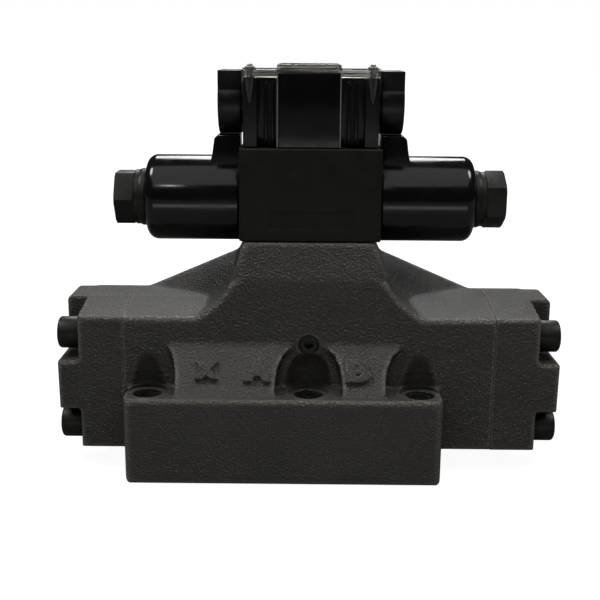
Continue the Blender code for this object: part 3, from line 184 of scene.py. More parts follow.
# The port letters: letter, x, width, share of the letter height, rise above the block
LETTERS = (("X", -0.0483, 0.0112, 0.78, 0.0070), ("A", -0.0242, 0.0130, 1.0, 0.0062),
           ("B", 0.0234, 0.0124, 1.0, 0.0062))
LETTER_WEIGHT = 0.0003

# The end covers
COVER_PLATE = 0.0214
RIB_HALF_WIDTH = 0.0122
RIB_CHAMFER = 0.0016
RIB_DRAFT = 0.0003
RIB_ROOT = 0.0030
COVER_SCREW_STEPS = ((0.0084, -FIT), (0.0052, -0.0300))
COVER_POCKET = 0.0138
COVER_POCKET_DEPTH = 0.0160

# How high the heads of the screws are
COVER_HEAD = 0.0112
PILOT_HEAD = 0.0050
LID_SCREW_HEAD = 0.0021

# The pilot body: the radii of its bore, its screw holes (head, shank) and its ports (port,
# recess), and how high the ports and their recesses reach
PILOT_BORE = 0.0058
PILOT_SCREW_HOLE = (0.0045, 0.0027)
PILOT_PORT = (0.0024, 0.0049)
PILOT_PORT_DEPTHS = (0.0060, 0.0019)

# The conduit hubs
HUB_STEP = 0.0062
HUB_BORE = 0.0085
HUB_NECK = 0.0110

# The terminal box: its recessed front, its posts, and its ribs' places outward from the middle
BOX_WALL = 0.0025
BOX_RECESS = 0.0105
POST_WIDTH = 0.0066
POST_SETBACK = 0.0014
RIBS = (0.0172, 0.0205)
RIB_WIDTH = 0.0012
PANEL_EDGE = 0.00055

# The clear lid, its skirt and its pegs
LID_WALL = 0.0012
LID_PLATE = 0.0013
LID_SCREW_HOLE = 0.0016
SKIRT_DROP = 0.0021
PEG_DROP = 0.0115

# The blank field on the pilot body's front
FIELD_LEFT, FIELD_RIGHT = -0.0195, 0.0205
FIELD_LOW, FIELD_HIGH = 0.1185, 0.1272
FIELD_DEPTH = 0.00035


class ValveSizes(PropertyGroup):
    """Sizes of the details that the looks add."""

    letter_height: FloatProperty(
        name="Letter height", description="Height of the raised port letters",
        default=0.0115, min=0.004, max=0.03, unit="LENGTH",
    )
    letter_relief: FloatProperty(
        name="Letter relief", description="How far the port letters stand out",
        default=0.0014, min=0.0002, max=0.003, unit="LENGTH",
    )
    cast_passes: IntProperty(
        name="Cast softness", description="Smoothing passes that round the cast edges",
        default=4, min=0, max=40,
    )


def finish_colour(name, description, default):
    """A colour that the panel can change."""
    return FloatVectorProperty(
        name=name, description=description, default=default, subtype="COLOR", size=3,
        min=0.0, max=1.0,
    )


class ValveColours(PropertyGroup):
    """Colours of the finishes."""

    cast: finish_colour("Cast body", "Dark coating on the cast pieces", (0.056, 0.050, 0.040))
    pilot: finish_colour("Pilot body", "Black finish of the milled pilot body",
                         (0.0130, 0.0130, 0.0102))
    coil: finish_colour("Coils", "Glossy moulding of the coils", (0.0048, 0.0048, 0.0048))
    plastic: finish_colour("Terminal box", "Satin moulding of the terminal box",
                           (0.0060, 0.0060, 0.0060))
    screws: finish_colour("Screws", "Black oxide of the screws and plugs", (0.028, 0.028, 0.026))


def link(name, mesh):
    """A new object in the scene."""
    made = bpy.data.objects.new(name, mesh)
    bpy.context.scene.collection.objects.link(made)
    return made


def from_bmesh(name, bm):
    """An object from a bmesh, which is freed."""
    bmesh.ops.recalc_face_normals(bm, faces=bm.faces)
    mesh = bpy.data.meshes.new(name)
    bm.to_mesh(mesh)
    bm.free()
    return link(name, mesh)


def bevel(bm, width, segments, edges=None):
    """Round a bmesh's edges."""
    bmesh.ops.bevel(
        bm, geom=list(edges if edges is not None else bm.edges), offset=width,
        segments=segments, profile=0.5, affect="EDGES", clamp_overlap=True,
    )


def block(name, low, high, radius=0.0, segments=3):
    """A box with rounded edges between two corners."""
    bm = bmesh.new()
    bmesh.ops.create_cube(bm, size=1.0)
    low, high = Vector(low), Vector(high)
    for vert in bm.verts:
        for i in range(3):
            vert.co[i] = high[i] if vert.co[i] > 0 else low[i]
    if radius:
        bevel(bm, radius, segments)
    return from_bmesh(name, bm)


def bridge(bm, rings):
    """Join each ring of points to the next with faces."""
    count = len(rings[0])
    for here, there in zip(rings, rings[1:]):
        for i in range(count):
            j = (i + 1) % count
            bm.faces.new((here[i], here[j], there[j], there[i]))


def prism(name, outline, axis, low, high, radius=0.0, segments=3):
    """An outline run from low to high along an axis: (y, z), (x, z) or (x, y) points."""
    order = {"X": lambda u, v, w: (w, u, v), "Y": lambda u, v, w: (u, w, v),
             "Z": lambda u, v, w: (u, v, w)}[axis]
    bm = bmesh.new()
    near = [bm.verts.new(order(u, v, low)) for u, v in outline]
    far = [bm.verts.new(order(u, v, high)) for u, v in outline]
    bm.faces.new(near)
    bm.faces.new(far)
    bridge(bm, (near, far))
    bmesh.ops.recalc_face_normals(bm, faces=bm.faces)
    if radius:
        sharp = [e for e in bm.edges if e.calc_face_angle(0.0) > math.radians(25)]
        bevel(bm, radius, segments, sharp)
    return from_bmesh(name, bm)


def lathe(name, profile, place=(0, 0, 0), towards=Z_AXIS, steps=48):
    """A closed turned piece from (radius, height) points; the ends may lie on the axis."""
    bm = bmesh.new()
    closed = profile[0][0] > 0 or profile[-1][0] > 0
    points = list(profile) + ([profile[0]] if closed else [])
    verts = [bm.verts.new((r, 0.0, h)) for r, h in points]
    edges = [bm.edges.new(pair) for pair in zip(verts, verts[1:])]
    bmesh.ops.spin(
        bm, geom=verts + edges, cent=(0, 0, 0), axis=(0, 0, 1), angle=2 * math.pi,
        steps=steps, use_duplicate=False,
    )
    bmesh.ops.remove_doubles(bm, verts=bm.verts, dist=1e-6)
    turn = Z_AXIS.rotation_difference(Vector(towards)).to_matrix().to_4x4()
    bmesh.ops.transform(bm, matrix=Matrix.Translation(place) @ turn, verts=bm.verts)
    return from_bmesh(name, bm)


def rod(name, start, end, radius, steps=40, chamfer=0.0):
    """A round rod between two points, with a chamfer that widens its far end when cutting."""
    start, end = Vector(start), Vector(end)
    length = (end - start).length
    profile = [(0.0, 0.0), (radius, 0.0), (radius, length), (0.0, length)]
    if chamfer:
        profile = [(0.0, 0.0), (radius, 0.0), (radius, length - 2 * chamfer),
                   (radius + 2 * chamfer, length), (0.0, length)]
    return lathe(name, profile, start, end - start, steps)


def stepped(name, place, top, steps, towards=Z_AXIS, edge=0.0, facets=64):
    """A stepped round cutter from its top down: steps are (radius, height of the step's end).

    Each step after the first starts with a chamfer, if an edge is given.
    """
    profile = [(0.0, top)]
    for i, (radius, end) in enumerate(steps):
        if i and edge:
            profile += [(radius + edge, top), (radius, top - edge), (radius, end)]
        else:
            profile += [(radius, top), (radius, end)]
        top = end
    return lathe(name, profile + [(0.0, top)], place, towards, facets)


def arc(centre_u, centre_v, radius, first, last, count):
    """Points of an arc, in degrees."""
    made = []
    for i in range(count + 1):
        angle = math.radians(first + (last - first) * i / count)
        made.append((centre_u + radius * math.cos(angle), centre_v + radius * math.sin(angle)))
    return made


def hexagon(centre_u, centre_v, reach, first=0):
    """The corners of a hexagon, from one at some degrees; reach is from its middle to them."""
    return arc(centre_u, centre_v, reach, first, first + 300, 5)


def final_mesh(thing):
    """A new mesh of a thing as its modifiers leave it."""
    bpy.context.view_layer.update()
    graph = bpy.context.evaluated_depsgraph_get()
    return bpy.data.meshes.new_from_object(thing.evaluated_get(graph))


def apply(thing):
    """Make a thing's modifiers part of its mesh."""
    mesh = final_mesh(thing)
    thing.modifiers.clear()
    thing.data = mesh
    return thing


def combine(thing, others, operation="DIFFERENCE"):
    """Cut or join a closed piece with others, which are removed."""
    for other in others:
        step = thing.modifiers.new(other.name, "BOOLEAN")
        step.operation = operation
        step.solver = "MANIFOLD"
        step.object = other
    apply(thing)
    for other in others:
        bpy.data.objects.remove(other, do_unlink=True)
    return thing


def cast_skin(thing, voxel, passes):
    """Give a solid the soft edges and hollows of a casting."""
    remesh = thing.modifiers.new("remesh", "REMESH")
    remesh.mode = "VOXEL"
    remesh.voxel_size = voxel
    remesh.adaptivity = 0.0
    smooth = thing.modifiers.new("smooth", "SMOOTH")
    smooth.factor = 0.5
    smooth.iterations = passes
    apply(thing)


def read(items, field, width=1, kind=np.float32):
    """One field of a mesh's points or edges, as an array."""
    values = np.empty(len(items) * width, kind)
    items.foreach_get(field, values)
    return values.reshape(-1, width) if width > 1 else values


def mark_edges(thing, reach=4):
    """Store how far each point stands out of its surroundings, for edge wear with a painted
    highlight and for painted shade in hollows.
    """
    mesh = thing.data
    count = len(mesh.vertices)
    co = read(mesh.vertices, "co", 3)
    normal = read(mesh.vertex_normals, "vector", 3)
    a, b = read(mesh.edges, "vertices", 2, np.int32).T
    degree = np.maximum(np.bincount(a, minlength=count) + np.bincount(b, minlength=count), 1)

    def gather(at_a, at_b):
        """The mean at each point of what its edges give it."""
        total = np.bincount(a, weights=at_a, minlength=count)
        total += np.bincount(b, weights=at_b, minlength=count)
        return total / degree

    run = co[b] - co[a]
    size = np.linalg.norm(run, axis=1) + 1e-9
    bend = gather(-(run * normal[a]).sum(1) / size, (run * normal[b]).sum(1) / size)
    for _ in range(reach):
        bend = 0.5 * bend + 0.5 * gather(bend[b], bend[a])
    edge = (0.5 + 2.0 * bend).clip(0, 1).astype(np.float32)
    mesh.attributes.new("edge", "FLOAT", "POINT").data.foreach_set("value", edge)


def finish_piece(thing, finish, nodes=(), body=BODY, angle=35):
    """Shade a piece, give it its material and its body, and hide the CAD nodes it stands for."""
    if not any(thing.data.materials):
        thing.data.materials.clear()
        thing.data.materials.append(MATERIALS[finish])
    thing.data.shade_smooth()
    thing.data.set_sharp_from_angle(angle=math.radians(angle))
    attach(thing, body)
    if nodes:
        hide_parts(*nodes)


# The colour sockets of a mix node
MIX_FIRST, MIX_SECOND, MIX_RESULT = 6, 7, 2


class Nodes:
    """Short ways to add and join shader or geometry nodes."""

    def __init__(self, tree):
        self.tree = tree

    def feed(self, node, values):
        """Fill a node's inputs, by name or number: sockets are linked, values are stored."""
        for key, value in values.items():
            if isinstance(value, bpy.types.NodeSocket):
                self.tree.links.new(value, node.inputs[key])
            else:
                node.inputs[key].default_value = value

    def add(self, kind, values=None, **settings):
        """A node with its settings and its inputs."""
        node = self.tree.nodes.new(kind)
        for key, value in settings.items():
            setattr(node, key, value)
        self.feed(node, values or {})
        return node

    def math(self, operation, first, second=0.0, clamp=False):
        """One sum of two values."""
        return self.add("ShaderNodeMath", {0: first, 1: second}, operation=operation,
                        use_clamp=clamp).outputs[0]

    def times(self, first, second):
        """The product of two values."""
        return self.math("MULTIPLY", first, second)

    def blend(self, factor, first, second):
        """A mix of two colours."""
        first, second = (value if isinstance(value, bpy.types.NodeSocket) else (*value, 1.0)
                         for value in (first, second))
        return self.add("ShaderNodeMix", {
            "Factor": factor, MIX_FIRST: first, MIX_SECOND: second,
        }, data_type="RGBA").outputs[MIX_RESULT]

    def ramp(self, value, low, high, start=0.0, end=1.0):
        """Map low..high to start..end, smoothly and clamped."""
        return self.add("ShaderNodeMapRange", {
            "Value": value, "From Min": low, "From Max": high, "To Min": start, "To Max": end,
        }, interpolation_type="SMOOTHSTEP").outputs[0]

    def noise(self, place, scale, detail=3.0, roughness=0.5):
        """Soft noise."""
        return self.add("ShaderNodeTexNoise", {
            "Vector": place, "Scale": scale, "Detail": detail, "Roughness": roughness,
        }).outputs["Fac"]


def new_tree(kind, name, inputs, outputs):
    """A shared node tree: (its nodes, its input sockets, its output node).

    Sockets are given as {name: kind}, and a number stands for a float and its default.
    """
    tree = bpy.data.node_groups.new(name, kind)
    for way, sockets in (("INPUT", inputs), ("OUTPUT", outputs)):
        for label, value in sockets.items():
            number = isinstance(value, float)
            socket = tree.interface.new_socket(
                label, in_out=way, socket_type="NodeSocket" + ("Float" if number else value),
            )
            if number:
                socket.default_value = value
    inside = tree.nodes.new("NodeGroupInput")
    return Nodes(tree), inside.outputs, tree.nodes.new("NodeGroupOutput")


def cast_grain_group():
    """The grain of a sand casting: a height, a mask of its raised grains, and broad patches."""
    n, inside, out = new_tree(
        "ShaderNodeTree", "Cast grain", {"Vector": "Vector", "Grain": 900.0, "Pits": 1.0},
        {"Height": "Float", "Raised": "Float", "Patches": "Float"},
    )
    place, grain = inside["Vector"], inside["Grain"]

    def cloud(share, detail, roughness=0.5):
        """Noise at a share of the grain's scale."""
        return n.noise(place, n.times(grain, share), detail, roughness)

    coarse = n.ramp(n.noise(place, grain, 2.0, 0.55), 0.33, 0.67)
    cells = n.add("ShaderNodeTexVoronoi", {"Vector": place, "Scale": n.times(grain, 0.28)},
                  feature="F1")
    spot = n.ramp(cells.outputs["Distance"], 0.05, 0.17, 1.0, 0.0)
    rare = n.ramp(cloud(0.10, 1.0), 0.60, 0.70)
    pits = n.times(n.times(spot, rare), inside["Pits"])
    height = n.math("ADD", coarse, n.times(cloud(2.6, 2.0, 0.6), 0.45))
    height = n.math("ADD", height, n.times(cloud(0.16, 2.0), 1.2))
    height = n.math("SUBTRACT", height, n.times(pits, 1.1))
    patches = n.ramp(cloud(0.03, 3.0, 0.6), 0.35, 0.68)
    n.feed(out, {"Height": height, "Raised": n.ramp(coarse, 0.55, 0.95), "Patches": patches})


def fine_wear_group():
    """Faint scuffs and unevenness of a smooth surface: a mask and a height."""
    n, inside, out = new_tree(
        "ShaderNodeTree", "Fine wear", {"Vector": "Vector", "Scale": 120.0, "Scuffs": 1.0},
        {"Mask": "Float", "Height": "Float"},
    )
    place, scale = inside["Vector"], inside["Scale"]
    cloud = n.ramp(n.noise(place, scale, 4.0, 0.62), 0.40, 0.66)
    stretch = n.add("ShaderNodeMapping", {"Vector": place, "Scale": (1.0, 1.0, 0.08)})
    lines = n.noise(stretch.outputs[0], n.times(scale, 14.0), 2.0)
    scuffs = n.times(n.ramp(lines, 0.62, 0.72), inside["Scuffs"])
    peel = n.noise(place, n.times(scale, 5.0), 2.0)
    n.feed(out, {"Mask": n.math("ADD", n.times(cloud, 0.7), scuffs, True),
                 "Height": n.math("SUBTRACT", peel, n.times(scuffs, 0.3))})


def turned_marks_group():
    """Fine rings left by a lathe round the X axis: a mask and a height."""
    n, inside, out = new_tree(
        "ShaderNodeTree", "Turned marks", {"Vector": "Vector", "Pitch": 2500.0},
        {"Mask": "Float", "Height": "Float"},
    )
    place = inside["Vector"]
    stretch = n.add("ShaderNodeMapping", {"Vector": place, "Scale": (1.0, 0.03, 0.03)})
    n.feed(out, {"Mask": n.ramp(n.noise(place, 90.0, 3.0, 0.6), 0.38, 0.66),
                 "Height": n.noise(stretch.outputs[0], inside["Pitch"], 2.0)})


def start_material(name):
    """A material with nothing but its shader: (material, nodes, shader, object coordinates)."""
    made = bpy.data.materials.new(name)
    made.use_nodes = True
    shader = made.node_tree.nodes["Principled BSDF"]
    n = Nodes(made.node_tree)
    place = n.add("ShaderNodeTexCoord").outputs["Object"]
    return made, n, shader, place


def place_group(n, name, values):
    """Put a shared node group in a material: its outputs."""
    return n.add("ShaderNodeGroup", values, node_tree=bpy.data.node_groups[name]).outputs


def finish_shader(n, shader, values, height, strength, distance):
    """Fill a shader's inputs and raise it by a height of 0 to 1 times a distance."""
    bump = n.add("ShaderNodeBump", {"Height": height, "Strength": strength, "Distance": distance})
    n.feed(shader, {**values, "Normal": bump.outputs[0]})


def scaled(colour, factor):
    """A lighter or darker copy of a colour."""
    return tuple(min(1.0, c * factor) for c in colour)


# How far the edge value ramps, from untouched to fully lightened (worn coating and painted
# highlight) or fully darkened (painted shade)
EDGE_WEAR_AND_HIGHLIGHT = (0.528, 0.67)
EDGE_SHADE = (0.46, 0.32)


def cast_material(name, colour, grain, depth, wear):
    """The dark coating of a casting: thinner and brighter on its edges, partly as wear and partly
    as a painted highlight, and darkened in its hollows by painted shade.
    """
    made, n, shader, place = start_material(name)
    grains = place_group(n, "Cast grain", {"Vector": place, "Grain": grain})
    raised = grains["Raised"]
    edge = n.add("ShaderNodeAttribute", attribute_name="edge").outputs["Fac"]
    # Worn coating and painted highlight: convex edges and ridges are lightened and made smoother,
    # and the wear value sets how much
    worn_and_lit_edges = n.times(n.ramp(edge, *EDGE_WEAR_AND_HIGHLIGHT), wear)
    # Painted shade: hollows and creases are darkened towards a tenth of the coating's colour
    hollow_shade = n.times(n.ramp(edge, *EDGE_SHADE), 0.80)
    base = n.blend(grains["Patches"], scaled(colour, 0.50), scaled(colour, 0.66))
    for share, factor in ((n.times(raised, 0.30), 1.2), (hollow_shade, 0.10), (worn_and_lit_edges, 2.6)):
        base = n.blend(share, base, scaled(colour, factor))
    rough = n.math("SUBTRACT", 0.44, n.times(raised, 0.12))
    rough = n.math("SUBTRACT", rough, n.times(worn_and_lit_edges, 0.12))
    finish_shader(n, shader, {
        "Base Color": base, "Roughness": rough, "Metallic": 0.10, "Specular IOR Level": 0.85,
    }, grains["Height"], 1.0, depth)
    return made


def worn_material(name, group, pattern, colours, roughness, relief, values):
    """A smooth surface, changed a little by a shared group.

    colours is (share of the mask, first, second), roughness is (least, gain by the mask) and
    relief is (strength, distance).
    """
    made, n, shader, place = start_material(name)
    marks = place_group(n, group, {"Vector": place, **pattern})
    share, first, second = colours
    least, gain = roughness
    finish_shader(n, shader, {
        "Base Color": n.blend(n.times(marks["Mask"], share), first, second),
        "Roughness": n.math("ADD", least, n.times(marks["Mask"], gain)), **values,
    }, marks["Height"], *relief)
    return made


def coated_material(name, colour, roughness, metallic, scale, depth, gloss=0.5):
    """A smooth dark surface: milled and blackened steel, or moulded plastic."""
    return worn_material(
        name, "Fine wear", {"Scale": scale, "Scuffs": 0.5},
        (0.6, scaled(colour, 0.85), scaled(colour, 1.5)), (roughness, 0.10), (0.5, depth),
        {"Metallic": metallic, "Specular IOR Level": gloss},
    )


def turned_material(name, colour, roughness, pitch, depth):
    """Turned or ground steel with fine rings."""
    return worn_material(
        name, "Turned marks", {"Pitch": pitch},
        (1.0, scaled(colour, 0.8), scaled(colour, 1.15)), (roughness, 0.08), (0.4, depth),
        {"Metallic": 0.9},
    )


def clear_material(name):
    """Clear moulded plastic with a faint warm tint and light scuffs."""
    return worn_material(
        name, "Fine wear", {"Scale": 200.0, "Scuffs": 0.6},
        (1.0, (0.96, 0.94, 0.88), (0.88, 0.86, 0.80)), (0.05, 0.10), (0.3, 0.00003),
        {"IOR": 1.49, "Transmission Weight": 1.0},
    )


def make_materials(colours):
    """Every finish, by name."""
    cast_grain_group()
    fine_wear_group()
    turned_marks_group()
    # Material name, colour, roughness, metallic, scale of its wear, relief and gloss
    coated = {
        "pilot": ("milled_black", colours.pilot, 0.46, 0.1, 150.0, 0.00003, 0.25),
        "coil": ("coil_moulding_black", colours.coil, 0.14, 0.0, 70.0, 0.00002, 0.50),
        "plastic": ("satin_black_plastic", colours.plastic, 0.32, 0.0, 160.0, 0.00003, 0.40),
        "panel": ("gloss_black_panel", scaled(colours.plastic, 0.8), 0.14, 0.0, 90.0, 0.00001,
                  0.36),
        "screws": ("black_oxide", colours.screws, 0.40, 0.6, 260.0, 0.00003, 0.4),
        "zinc": ("zinc_plate", (0.55, 0.55, 0.53), 0.30, 0.9, 300.0, 0.00002),
        "brass": ("brass_terminal", (0.62, 0.45, 0.20), 0.28, 0.95, 300.0, 0.00002),
        "rubber": ("seal_rubber", (0.012, 0.012, 0.012), 0.55, 0.0, 320.0, 0.00004),
        "smoked": ("smoked_plastic", (0.030, 0.030, 0.028), 0.12, 0.0, 200.0, 0.00002, 0.9),
        "amber": ("amber_plastic", (0.15, 0.14, 0.10), 0.35, 0.0, 200.0, 0.00002),
        "frosted": ("frosted_edge", (0.36, 0.35, 0.31), 0.35, 0.0, 260.0, 0.00002),
    }
    return {
        "cast": cast_material("cast_coating", colours.cast, 1050.0, 0.00034, 0.72),
        "steel": turned_material("turned_steel", (0.45, 0.45, 0.44), 0.26, 2600.0, 0.00002),
        "clear": clear_material("clear_plastic_lid"),
        **{finish: coated_material(*values) for finish, values in coated.items()},
    }


MATERIALS = {}


def housing_outline(bottom, inset=0.0):
    """The (y, z) outline that the housing and its covers share."""
    depth = HOUSING_DEPTH - inset
    return [
        (-depth, bottom), (-depth, FRONT_TOP - inset), (CROWN_FRONT_Y, CROWN - inset),
        (CROWN_REAR_Y, CROWN - inset), (depth, REAR_TOP - inset), (depth, bottom),
    ]


def bow(start, bend, end, count):
    """Points of a smooth bow between two points, drawn towards a third."""
    made = []
    for i in range(count + 1):
        t = i / count
        made.append(tuple(
            (1 - t) ** 2 * p + 2 * t * (1 - t) * q + t * t * r
            for p, q, r in zip(start, bend, end)
        ))
    return made


def between(first, second, share):
    """A point on the line between two points."""
    return tuple(a + (b - a) * share for a, b in zip(first, second))


def make_neck():
    """The neck, its flared shoulders and the wings that slope down behind them."""
    join = 0.0004
    crease = (CREASE_HALF_WIDTH, NECK_CREASE)
    lean = (CREASE_HALF_WIDTH + 0.0038, (NECK_CREASE + FRONT_TOP) / 2)
    front = [(WING_HALF_WIDTH, FRONT_TOP - 2 * join)]
    front += bow((SHOULDER, FRONT_TOP - join), lean, crease, NECK_STEPS)
    foot = (WING_HALF_WIDTH, CROWN - join)
    inner = (WING_INNER, WING_TOP + WING_CREST)
    slope = [between(foot, inner, i / (NECK_STEPS + 1)) for i in range(NECK_STEPS + 2)]
    top = [(NECK_HALF_WIDTH + 0.0012, NECK_TOP - 0.0034), (NECK_HALF_WIDTH, NECK_TOP - 0.0010),
           (NECK_HALF_WIDTH - 0.0010, NECK_TOP)]
    low_top = [(x, NECK_CREASE + join * (i + 1)) for i, (x, _) in enumerate(top)]
    drop = CROWN - REAR_TOP
    tail = [(x, z - drop - 0.4 * (z - foot[1])) for x, z in slope]
    tail_top = [(x, tail[-1][1] + join * (i + 1)) for i, (x, _) in enumerate(top)]
    sections = [(-HOUSING_DEPTH, front, low_top)]
    front_y = -HOUSING_DEPTH + NECK_SETBACK
    for i in range(DEPTH_STEPS + 1):
        share = i / DEPTH_STEPS
        y = front_y + (NECK_REAR_Y - WING_RIDGE - front_y) * share
        flare = [between(p, q, share ** WING_HOLLOW) for p, q in zip(front, slope)]
        dip = WING_DIP * math.sin(math.pi * share)
        last = len(flare) - 1
        sections.append((y, [(x, z - dip * i / last) for i, (x, z) in enumerate(flare)], top))
    sections.append((NECK_REAR_Y + WING_RIDGE, slope, top))
    sections.append((HOUSING_DEPTH - 0.0060, tail, tail_top))
    bm = bmesh.new()
    rings = []
    for y, flare, upper in sections:
        half = [(WING_HALF_WIDTH, CROWN - 0.0200)] + flare + upper
        ring = [(x, y, z) for x, z in half] + [(-x, y, z) for x, z in reversed(half)]
        rings.append([bm.verts.new(point) for point in ring])
    bridge(bm, rings)
    bmesh.ops.triangulate(bm, faces=bm.faces)
    bm.faces.new(rings[0])
    bm.faces.new(rings[-1])
    return from_bmesh("neck", bm)


def arch(name, x, facing, reaches):
    """The hollow between two pads, over one bolt: how far it reaches left, right and leans."""
    rise = PAD_TOP - BLOCK_TOP
    left, right, lean = reaches
    outline = []
    for side, reach in ((1, right), (-1, left)):
        if reach is None:
            beyond = 3 * SPOTFACE_RADIUS
            edge = [(beyond, BLOCK_TOP), (beyond, BLOCK_TOP + rise * ARCH_STEPS[-1][0])]
        else:
            edge = [(reach - lean * part, BLOCK_TOP + rise * up) for up, part in ARCH_STEPS]
        edge = [(x + side * u, z) for u, z in edge]
        outline += edge if side > 0 else edge[::-1]
    low, high = sorted((facing * HOUSING_DEPTH, facing * (HOUSING_HIGH.y + 0.005)))
    return prism(name, outline, "Y", low, high)


def scoop(name, x, y, steps, top):
    """The round hollow that lets a bolt's head into the housing wall."""
    profile = [(radius, BLOCK_TOP + (top - BLOCK_TOP) * up) for radius, up in steps]
    return lathe(name, profile + [(0.0, BLOCK_TOP)], (x, y, 0), Z_AXIS, 64)


def rough_housing():
    """The casting before it is machined."""
    corners = block("block", (BLOCK_LEFT, HOUSING_LOW.y, 0.0),
                    (BLOCK_RIGHT, HOUSING_HIGH.y, BLOCK_TOP))
    bm = bmesh.new()
    bm.from_mesh(corners.data)
    upright = [e for e in bm.edges if abs(e.verts[0].co.z - e.verts[1].co.z) > 0.01]
    bevel(bm, BLOCK_CORNER, 4, upright)
    feet = [e for e in bm.edges if max(v.co.z for v in e.verts) < 1e-5
            and abs(e.verts[0].co.y - e.verts[1].co.y) > 0.01]
    bevel(bm, BLOCK_FOOT, 5, feet)
    bm.to_mesh(corners.data)
    bm.free()
    shell = prism("shell", housing_outline(HOUSING_BOTTOM), "X",
                  HOUSING_LOW.x - MACHINING_STOCK, HOUSING_HIGH.x + MACHINING_STOCK)
    steep = (PAD_TOP - BLOCK_TOP) / (PAD_FOOT_Y - HOUSING_DEPTH)
    inside = (HOUSING_DEPTH - 0.002, PAD_TOP + 0.002 * steep)
    low = BLOCK_TOP - PAD_SINK
    pad = [(-inside[0], inside[1]), (-PAD_FOOT_Y, BLOCK_TOP), (-PAD_FOOT_Y, low),
           (PAD_FOOT_Y, low), (PAD_FOOT_Y, BLOCK_TOP), inside]
    pads = prism("pads", pad, "X", BLOCK_LEFT + BLOCK_CORNER, BLOCK_RIGHT - BLOCK_CORNER)
    combine(corners, [shell, pads, make_neck()], "UNION")
    hollows = []
    for facing, bolts, arches in BOLT_ROWS:
        for i, x in enumerate(bolts):
            hollows.append(arch(f"arch_{facing}_{i}", x, facing, arches[i]))
            shape = MIDDLE_SCOOP if i == 1 else SIDE_SCOOP
            hollows.append(scoop(f"scoop_{facing}_{i}", x, facing * BOLT_Y, *shape))
    return combine(corners, hollows)


def machining():
    """What is milled and drilled out of the casting."""
    cuts, far = [], 0.02
    floor = BLOCK_TOP - SPOTFACE_DEPTH
    for facing, bolts, _ in BOLT_ROWS:
        steps = ((SPOTFACE_RADIUS, floor), (BOLT_HOLE_RADIUS, -far))
        for i, x in enumerate(bolts):
            cuts.append(stepped(f"bolt_hole_{facing}_{i}", (x, facing * BOLT_Y, 0),
                                floor + SPOTFACE_RUN, steps, edge=0.0005))
    for name, radius in PORTS.items():
        x, y, _ = centre(f"port_seal_{name}")
        steps = ((radius, RECESS_DEPTH), (radius + RECESS_WIDTHS[radius], -far))
        cuts.append(stepped(f"port_{name}", (x, y, 0), PORT_DEPTH, steps))
    for i, (x, y) in enumerate(PIN_HOLES):
        cuts.append(rod(f"pin_{i}", (x, y, -far), (x, y, PIN_HOLE_DEPTH), PIN_HOLE_RADIUS))
    cuts.append(rod("bore", (-WIDE, 0, SPOOL_Z), (WIDE, 0, SPOOL_Z), SPOOL_BORE, 64))
    for row, facing in PLUG_ROWS:
        x, _, z = centre(f"{row}_plug")
        start, end = facing * (HOUSING_DEPTH - 0.009), facing * (HOUSING_DEPTH + 0.004)
        cuts.append(rod(f"plug_hole_{row}", (x, start, z), (x, end, z), PLUG_RADIUS + FIT))
    top = HOUSING_HIGH.z
    cuts.append(block("neck_face", (-WIDE, -WIDE, top - 0.0001), (WIDE, WIDE, top + far)))
    cuts.append(block("base_face", (-WIDE, -WIDE, -far), (WIDE, WIDE, 0.0)))
    return cuts


def end_cut(x, side):
    """What a flat end is milled with: everything beyond it, on one side."""
    low, high = sorted((x, x + side * 0.02))
    return block("end_face", (low, -WIDE, -WIDE), (high, WIDE, 2 * WIDE))


def paint_bolt_hole_shade(body):
    """Paint shade inside the bolt holes: their points get the lowest edge value, which darkens the
    coating there.
    """
    co = read(body.data.vertices, "co", 3)
    layer = body.data.attributes["edge"]
    edge = read(layer.data, "value")
    below = co[:, 2] < BLOCK_TOP - SPOTFACE_DEPTH
    for facing, bolts, _ in BOLT_ROWS:
        for x in bolts:
            away = np.hypot(co[:, 0] - x, co[:, 1] - facing * BOLT_Y)
            # Painted shade: the lowest edge value darkens the hole walls
            edge[(away < BOLT_HOLE_RADIUS + 0.0002) & below] = 0.0
    layer.data.foreach_set("value", edge)


def make_housing(sizes):
    """The cast body, machined and marked."""
    body = rough_housing()
    cast_skin(body, CAST_VOXEL, sizes.cast_passes)
    body.name = "valve_housing"
    combine(body, machining())
    for x, side in ((HOUSING_LOW.x, -1), (HOUSING_HIGH.x, 1)):
        combine(body, [end_cut(x, side)])
    mark_edges(body)
    paint_bolt_hole_shade(body)
    finish_piece(body, "cast", ["main_body"])


class VALVE_OT_housing(Operator):
    """Build the cast body"""

    bl_idname = "valve.housing"
    bl_label = "Cast body"

    def execute(self, context):
        make_housing(context.scene.valve_sizes)
        return {"FINISHED"}


